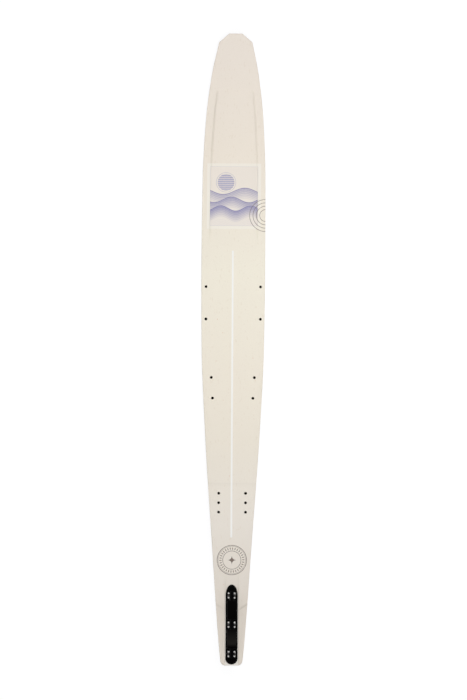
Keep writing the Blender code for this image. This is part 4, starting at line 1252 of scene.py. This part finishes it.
def build_binding_inserts():
    """Brass bushes with a chamfered, threaded bore."""
    bore = INSERT_BORE_RADIUS
    floor = INSERT_FLOOR - INSERT_LENGTH
    thread = []
    z = floor + INSERT_THREAD_OVER_FLOOR
    while z < -INSERT_THREAD_UNDER_TOP:
        thread += [(bore, z), (bore - INSERT_THREAD_DEPTH, z + INSERT_THREAD_PITCH / 2)]
        z += INSERT_THREAD_PITCH
    neck = INSERT_RADIUS
    body = INSERT_BODY_RADIUS
    profile = [(0.0, floor), (bore, floor), *thread, (bore, -INSERT_LIP), (bore + INSERT_LIP, 0.0)]
    profile += [(neck - INSERT_LIP, 0.0), (neck, -INSERT_LIP), (neck, -INSERT_SHOULDER)]
    profile += [(body, -INSERT_SHOULDER), (body, -INSERT_LENGTH), (0.0, -INSERT_LENGTH)]
    for (group, number), (top, up) in INSERT_TOPS.items():
        name = f"{group}_bush_{number}"
        mesh = lathe(name, profile)
        reach = bore + INSERT_LIP / 2
        # the faces down the bore, which take the painted shade
        in_bore = [float(v.co.xy.length < reach and v.co.z > -INSERT_LENGTH) for v in mesh.vertices]
        store(mesh, "bore_shade", "POINT", in_bore)
        place = Matrix.Translation(top) @ turned_to(up)
        add_piece(name, mesh, place, "ski", "insert_brass", f"{group}_binding_insert_{number}")


# Fin block, its screws and the fin


def slot_places():
    return [(side * SLOT_COLUMN_HALF, row * SLOT_ROW_PITCH) for row in (-1, 0, 1) for side in (-1, 1)]


def slot_outline(x, y):
    straight = SLOT_HALF_LENGTH - SLOT_HALF_WIDTH
    front = arc((x, y + straight), SLOT_HALF_WIDTH, 0, 180, 12)
    return front + arc((x, y - straight), SLOT_HALF_WIDTH, 180, 360, 12)


def clamp_screw_places():
    return [y + side * CLAMP_SCREW_SPACING / 2 for y in BOSS_ROWS for side in (1, -1)]


def block_solid():
    """The block's flange with its two bosses and the ridge between them."""
    outline = arc((0.0, BLOCK_REAR + BLOCK_HALF), BLOCK_HALF, 180, 360, 36)
    outline += arc((0.0, BLOCK_FRONT - BLOCK_FRONT_ARCH), BLOCK_HALF, 0, 180, 36, along=BLOCK_FRONT_ARCH)
    flange = plate("block_body", [outline], 0.0, FLANGE_THICKNESS, FLANGE_BEVEL)
    inside = FLANGE_THICKNESS / 2
    raised = []
    for y in BOSS_ROWS:
        low = (-BOSS_HALF, y - BOSS_LENGTH / 2, inside)
        high = (BOSS_HALF, y + BOSS_LENGTH / 2, BOSS_HEIGHT)
        raised.append(block_mesh("boss", low, high, BOSS_CORNER_RADIUS, BOSS_TOP_ROUNDING))
    low = (-RIDGE_HALF, -RIDGE_HALF_LENGTH, inside)
    high = (RIDGE_HALF, RIDGE_HALF_LENGTH, BOSS_HEIGHT - RIDGE_BELOW_BOSSES)
    raised.append(block_mesh("ridge", low, high, RIDGE_CORNER_RADIUS, BOSS_TOP_ROUNDING))
    return combined(flange, raised, "UNION")


def clamp_rooms():
    """The rooms of the clamp bars beside the fin's."""
    reach = CLAMP_BAR_LENGTH / 2 + CLEARANCE
    rooms = []
    for y in BOSS_ROWS:
        high = (CLAMP_OUTER + CLEARANCE, y + reach, CLAMP_BAR_TOP + CLEARANCE)
        rooms.append(block_mesh("room", (-CLAMP_ROOM_OVERLAP, y - reach, -OVERRUN), high))
    return joined("rooms", rooms)


def clamp_screw_holes():
    holes = []
    for y in clamp_screw_places():
        ends = [(x, y, CLAMP_SCREW_Z) for x in (CLAMP_OUTER, BOSS_HALF + OVERRUN)]
        holes.append(cylinder("hole", CLAMP_SCREW_RADIUS + CLEARANCE, *ends))
    return joined("screw_holes", holes)


def build_block():
    outlines = [slot_outline(x, y) for x, y in slot_places()]
    slots = plate("slots", outlines, -OVERRUN, FLANGE_THICKNESS + OVERRUN)
    half = FIN_THICKNESS / 2 + CLEARANCE
    reach = FIN_LENGTH / 2 + CLEARANCE
    ceiling = FIN_TAB_TOP + FIN_TRAVEL + 2 * CLEARANCE
    fin_room = block_mesh("fin_room", (-half, -reach, -OVERRUN), (half, reach, ceiling))
    mesh = combined(block_solid(), [slots, fin_room, clamp_rooms(), clamp_screw_holes()])
    add_piece("block_body", mesh, BLOCK, "fin_block", "anodised_black", "fin_block")


def screw(name, profile, socket_radius, top, socket_depth):
    """A turned screw with a hexagon socket."""
    ends = ((0, 0, top - socket_depth), (0, 0, top + OVERRUN))
    return combined(lathe(name, profile), [cylinder("socket", socket_radius, *ends, sides=6)])


def threads(radius, depth, pitch, start, end):
    """Profile points of a threaded shank, from the higher start down to the end."""
    points = []
    z = start
    while z - pitch > end:
        points += [(radius - depth, z), (radius, z - pitch / 2)]
        z -= pitch
    return points


def build_block_screws():
    radius = BLOCK_SCREW_SHANK_RADIUS
    head = BLOCK_SCREW_HEAD_RADIUS
    base = FLANGE_THICKNESS + 2 * CLEARANCE
    rim = base + BLOCK_SCREW_EDGE
    top = base + BLOCK_SCREW_HEAD
    thread = (BLOCK_SCREW_THREAD_DEPTH, BLOCK_SCREW_THREAD_PITCH)
    angles = [math.radians(a) for a in (72, 54, 36, 18, 0)]
    profile = [(0.0, top), (head * BLOCK_SCREW_FLAT_SHARE, top)]
    profile += [(head * math.cos(a), rim + (top - rim) * math.sin(a)) for a in angles]
    profile += [(head, base), (radius, base)]
    profile += threads(radius, *thread, base - BLOCK_SCREW_EDGE, -BLOCK_SCREW_LENGTH)
    profile += [(radius - BLOCK_SCREW_EDGE, -BLOCK_SCREW_LENGTH), (0.0, -BLOCK_SCREW_LENGTH)]
    for number, (x, y) in enumerate(slot_places(), start=1):
        name = f"block_bolt_{number}"
        mesh = screw(name, profile, BLOCK_SCREW_SOCKET_RADIUS, top, BLOCK_SCREW_SOCKET)
        turned = Matrix.Rotation(BLOCK_SCREW_TURN * number, 4, "Z")
        place = FIN_SEAT @ Matrix.Translation((x, y, 0.0)) @ turned
        add_piece(name, mesh, place, "ski", "screw_steel", f"fin_block_screw_{number}")


def build_set_screws():
    radius = CLAMP_SCREW_RADIUS
    depth = CLAMP_SCREW_THREAD_DEPTH
    tip = -CLAMP_SCREW_LENGTH
    profile = [(0.0, 0.0), (radius - depth, 0.0)]
    profile += threads(radius, depth, CLAMP_SCREW_THREAD_PITCH, -depth, tip + 2 * depth)
    profile += [(radius - 2 * depth, tip), (0.0, tip)]
    for number, y in enumerate(clamp_screw_places(), start=1):
        name = f"set_screw_{number}"
        mesh = screw(name, profile, CLAMP_SCREW_SOCKET_RADIUS, 0.0, CLAMP_SCREW_SOCKET)
        at = Matrix.Translation((BOSS_HALF - CLEARANCE, y, CLAMP_SCREW_Z))
        place = BLOCK @ at @ Matrix.Rotation(math.pi / 2, 4, "Y")
        add_piece(name, mesh, place, "fin_block", "screw_steel", f"fin_clamp_screw_{number}")


def wing_slot(middle):
    """Outline of an arc-shaped slot around the wing's hole."""
    high, low = 180.0, 180.0 - WING_SLOT_DOWN

    def cap(angle, start):
        at = arc(middle, WING_SLOT_BEHIND, angle, angle, 1)[0]
        return arc(at, WING_HOLE_RADIUS, start, start + 180, 10)[1:-1]

    outer = WING_SLOT_BEHIND + WING_HOLE_RADIUS
    inner = WING_SLOT_BEHIND - WING_HOLE_RADIUS
    far_side = arc(middle, outer, low, high, 8)
    near_side = arc(middle, inner, high, low, 8)
    return far_side + cap(high, high) + near_side + cap(low, low + 180)


def build_fin():
    bottom = FIN_BASE - FIN_DEPTH
    front = FIN_LENGTH / 2
    rear = -FIN_LENGTH / 2
    radius = FIN_REAR_CORNER_RADIUS
    leading = arc((FIN_BOTTOM_FRONT, FIN_BASE), front - FIN_BOTTOM_FRONT, 0, -90, 72, along=FIN_DEPTH)
    corner = arc((rear + FIN_REAR_RAKE + radius, bottom + radius), radius, -90, -180, 16)
    outline = [(front, FIN_TAB_TOP), *leading, *corner, (rear, FIN_BASE), (rear, FIN_TAB_TOP)]
    hole = (WING_HOLE_AT, FIN_BASE - WING_HOLE_BELOW_BASE)
    round_hole = arc(hole, WING_HOLE_RADIUS, 0, 360, 32)[:-1]
    half = FIN_THICKNESS / 2
    mesh = plate("fin_blade", [outline[::-1], round_hole, wing_slot(hole)], -half, half, FIN_EDGE_ROUNDING)
    # the outline's x runs along the ski and its y is height
    mesh.transform(Matrix(((0, 0, 1, 0), (1, 0, 0, 0), (0, 1, 0, 0), (0, 0, 0, 1))))
    add_piece("fin_blade", mesh, BLOCK, "fin", "aluminium", "fin")


def dress_kept_nodes():
    """CAD pieces whose shape stays, with their finished materials."""
    kept = {"core": "core", "fin_slot_liner": "liner"}
    kept.update({f"{group}_insert_plate": "plate" for group in (*BINDING_INSERTS, "fin")})
    kept.update({f"fin_insert_{number}": "insert_brass" for number in range(1, 7)})
    kept.update({f"fin_clamp_bar_{end}": "aluminium" for end in ("front", "rear")})
    for node, slot in kept.items():
        frame["nodes"][node].material_slots[0].material = LOOKS[slot]


# Studio


def seen_directly(tree, otherwise, seen):
    """A strength for rays from the camera, reflections and glass, and another for all other rays."""
    rays = add_node(tree, "LightPath").outputs
    share = rays["Is Camera Ray"]
    for name in ("Is Glossy Ray", "Is Transmission Ray"):
        share = add_node(tree, "Math", {0: share, 1: rays[name]}, operation="MAXIMUM").outputs[0]
    return add_node(tree, "MapRange", {"Value": share, "To Min": otherwise, "To Max": seen}).outputs[0]


def floor_look():
    """A floor that takes shadows, looks white to the camera and in reflections, and is clear from below."""
    material = bpy.data.materials.new("studio_floor")
    material.use_nodes = True
    tree = material.node_tree
    tree.nodes.clear()
    diffuse = add_node(tree, "BsdfDiffuse", {"Color": seen_directly(tree, FLOOR_WHITE, FLOOR_SHADOW)})
    glow = add_node(tree, "Emission", {"Strength": seen_directly(tree, 0.0, FLOOR_GLOW)})
    both = add_node(tree, "AddShader", {0: diffuse.outputs[0], 1: glow.outputs[0]})
    from_below = add_node(tree, "NewGeometry").outputs["Backfacing"]
    clear = add_node(tree, "BsdfTransparent").outputs[0]
    surface = add_node(tree, "MixShader", {0: from_below, 1: both.outputs[0], 2: clear})
    add_node(tree, "OutputMaterial", {"Surface": surface.outputs[0]})
    return material


def add_floor():
    bm = bmesh.new()
    bmesh.ops.create_grid(bm, x_segments=1, y_segments=1, size=FLOOR_HALF)
    floor = scene_object("floor", mesh_of(bm, "floor"))
    floor.location.z = FLOOR_LEVEL
    floor.data.materials.append(floor_look())


def add_world():
    """A white surround whose light on the object is weak overhead and stronger toward the horizon."""
    world = bpy.data.worlds.new("studio")
    bpy.context.scene.world = world
    world.use_nodes = True
    tree = world.node_tree
    place = add_node(tree, "TexCoord").outputs["Generated"]
    height = add_node(tree, "SeparateXYZ", {0: place}).outputs["Z"]
    low = add_node(tree, "MapRange", {"Value": height, "To Min": 1.0, "To Max": 0.0}).outputs[0]
    squared = add_node(tree, "Math", {0: low, 1: 2.0}, operation="POWER").outputs[0]
    sky = add_node(tree, "MapRange", {"Value": squared, "To Min": SKY_ZENITH, "To Max": SKY_HORIZON})
    background = tree.nodes["Background"]
    feed(tree, background.inputs["Color"], (1.0, 1.0, 1.0, 1.0))
    feed(tree, background.inputs["Strength"], seen_directly(tree, sky.outputs[0], 1.0))


def add_softbox(name, location, target, size, watts):
    data = bpy.data.lights.new(name, "AREA")
    data.shape = "RECTANGLE"
    data.size, data.size_y = size
    data.energy = watts
    lamp = scene_object(name, data)
    lamp.location = location
    aim = Vector(target) - Vector(location)
    lamp.rotation_euler = aim.to_track_quat("-Z", "Y").to_euler()


def add_lights():
    """A large soft key overhead, and a low fill on each side for the ski's edges."""
    add_softbox("key", KEY_PLACE, (*KEY_PLACE[:2], 0.0), KEY_SIZE, KEY_WATTS)
    for side, label in ((-1, "left"), (1, "right")):
        place = (side * FILL_AWAY, 0.0, FILL_HEIGHT)
        add_softbox(f"fill_{label}", place, (0.0, 0.0, 0.0), FILL_SIZE, FILL_WATTS[label])


def add_camera():
    """Looks along the deck's normal, a little from the left, with the ski's tip up."""
    data = bpy.data.cameras.new("camera")
    data.sensor_width = SENSOR
    data.lens = SENSOR * CAMERA_DISTANCE / (IMAGE_HEIGHT * METRES_PER_PIXEL)
    data.clip_end = 2 * CAMERA_DISTANCE
    camera = scene_object("camera", data)
    deck = SKI @ Matrix.Translation((0.0, AIM[1] - LENGTH / 2, MID_THICKNESS))
    lean = Matrix.Rotation(math.radians(-CAMERA_LEAN), 4, "Y")
    roll = Matrix.Rotation(math.radians(CAMERA_ROLL), 4, "Z")
    camera.matrix_world = deck @ lean @ roll @ Matrix.Translation((AIM[0], 0.0, CAMERA_DISTANCE))
    bpy.context.scene.camera = camera


build_layers()
build_edges()
build_binding_inserts()
build_block()
build_block_screws()
build_set_screws()
build_fin()
dress_kept_nodes()
add_floor()
add_world()
add_lights()
add_camera()
bpy.context.scene.view_settings.view_transform = "Standard"
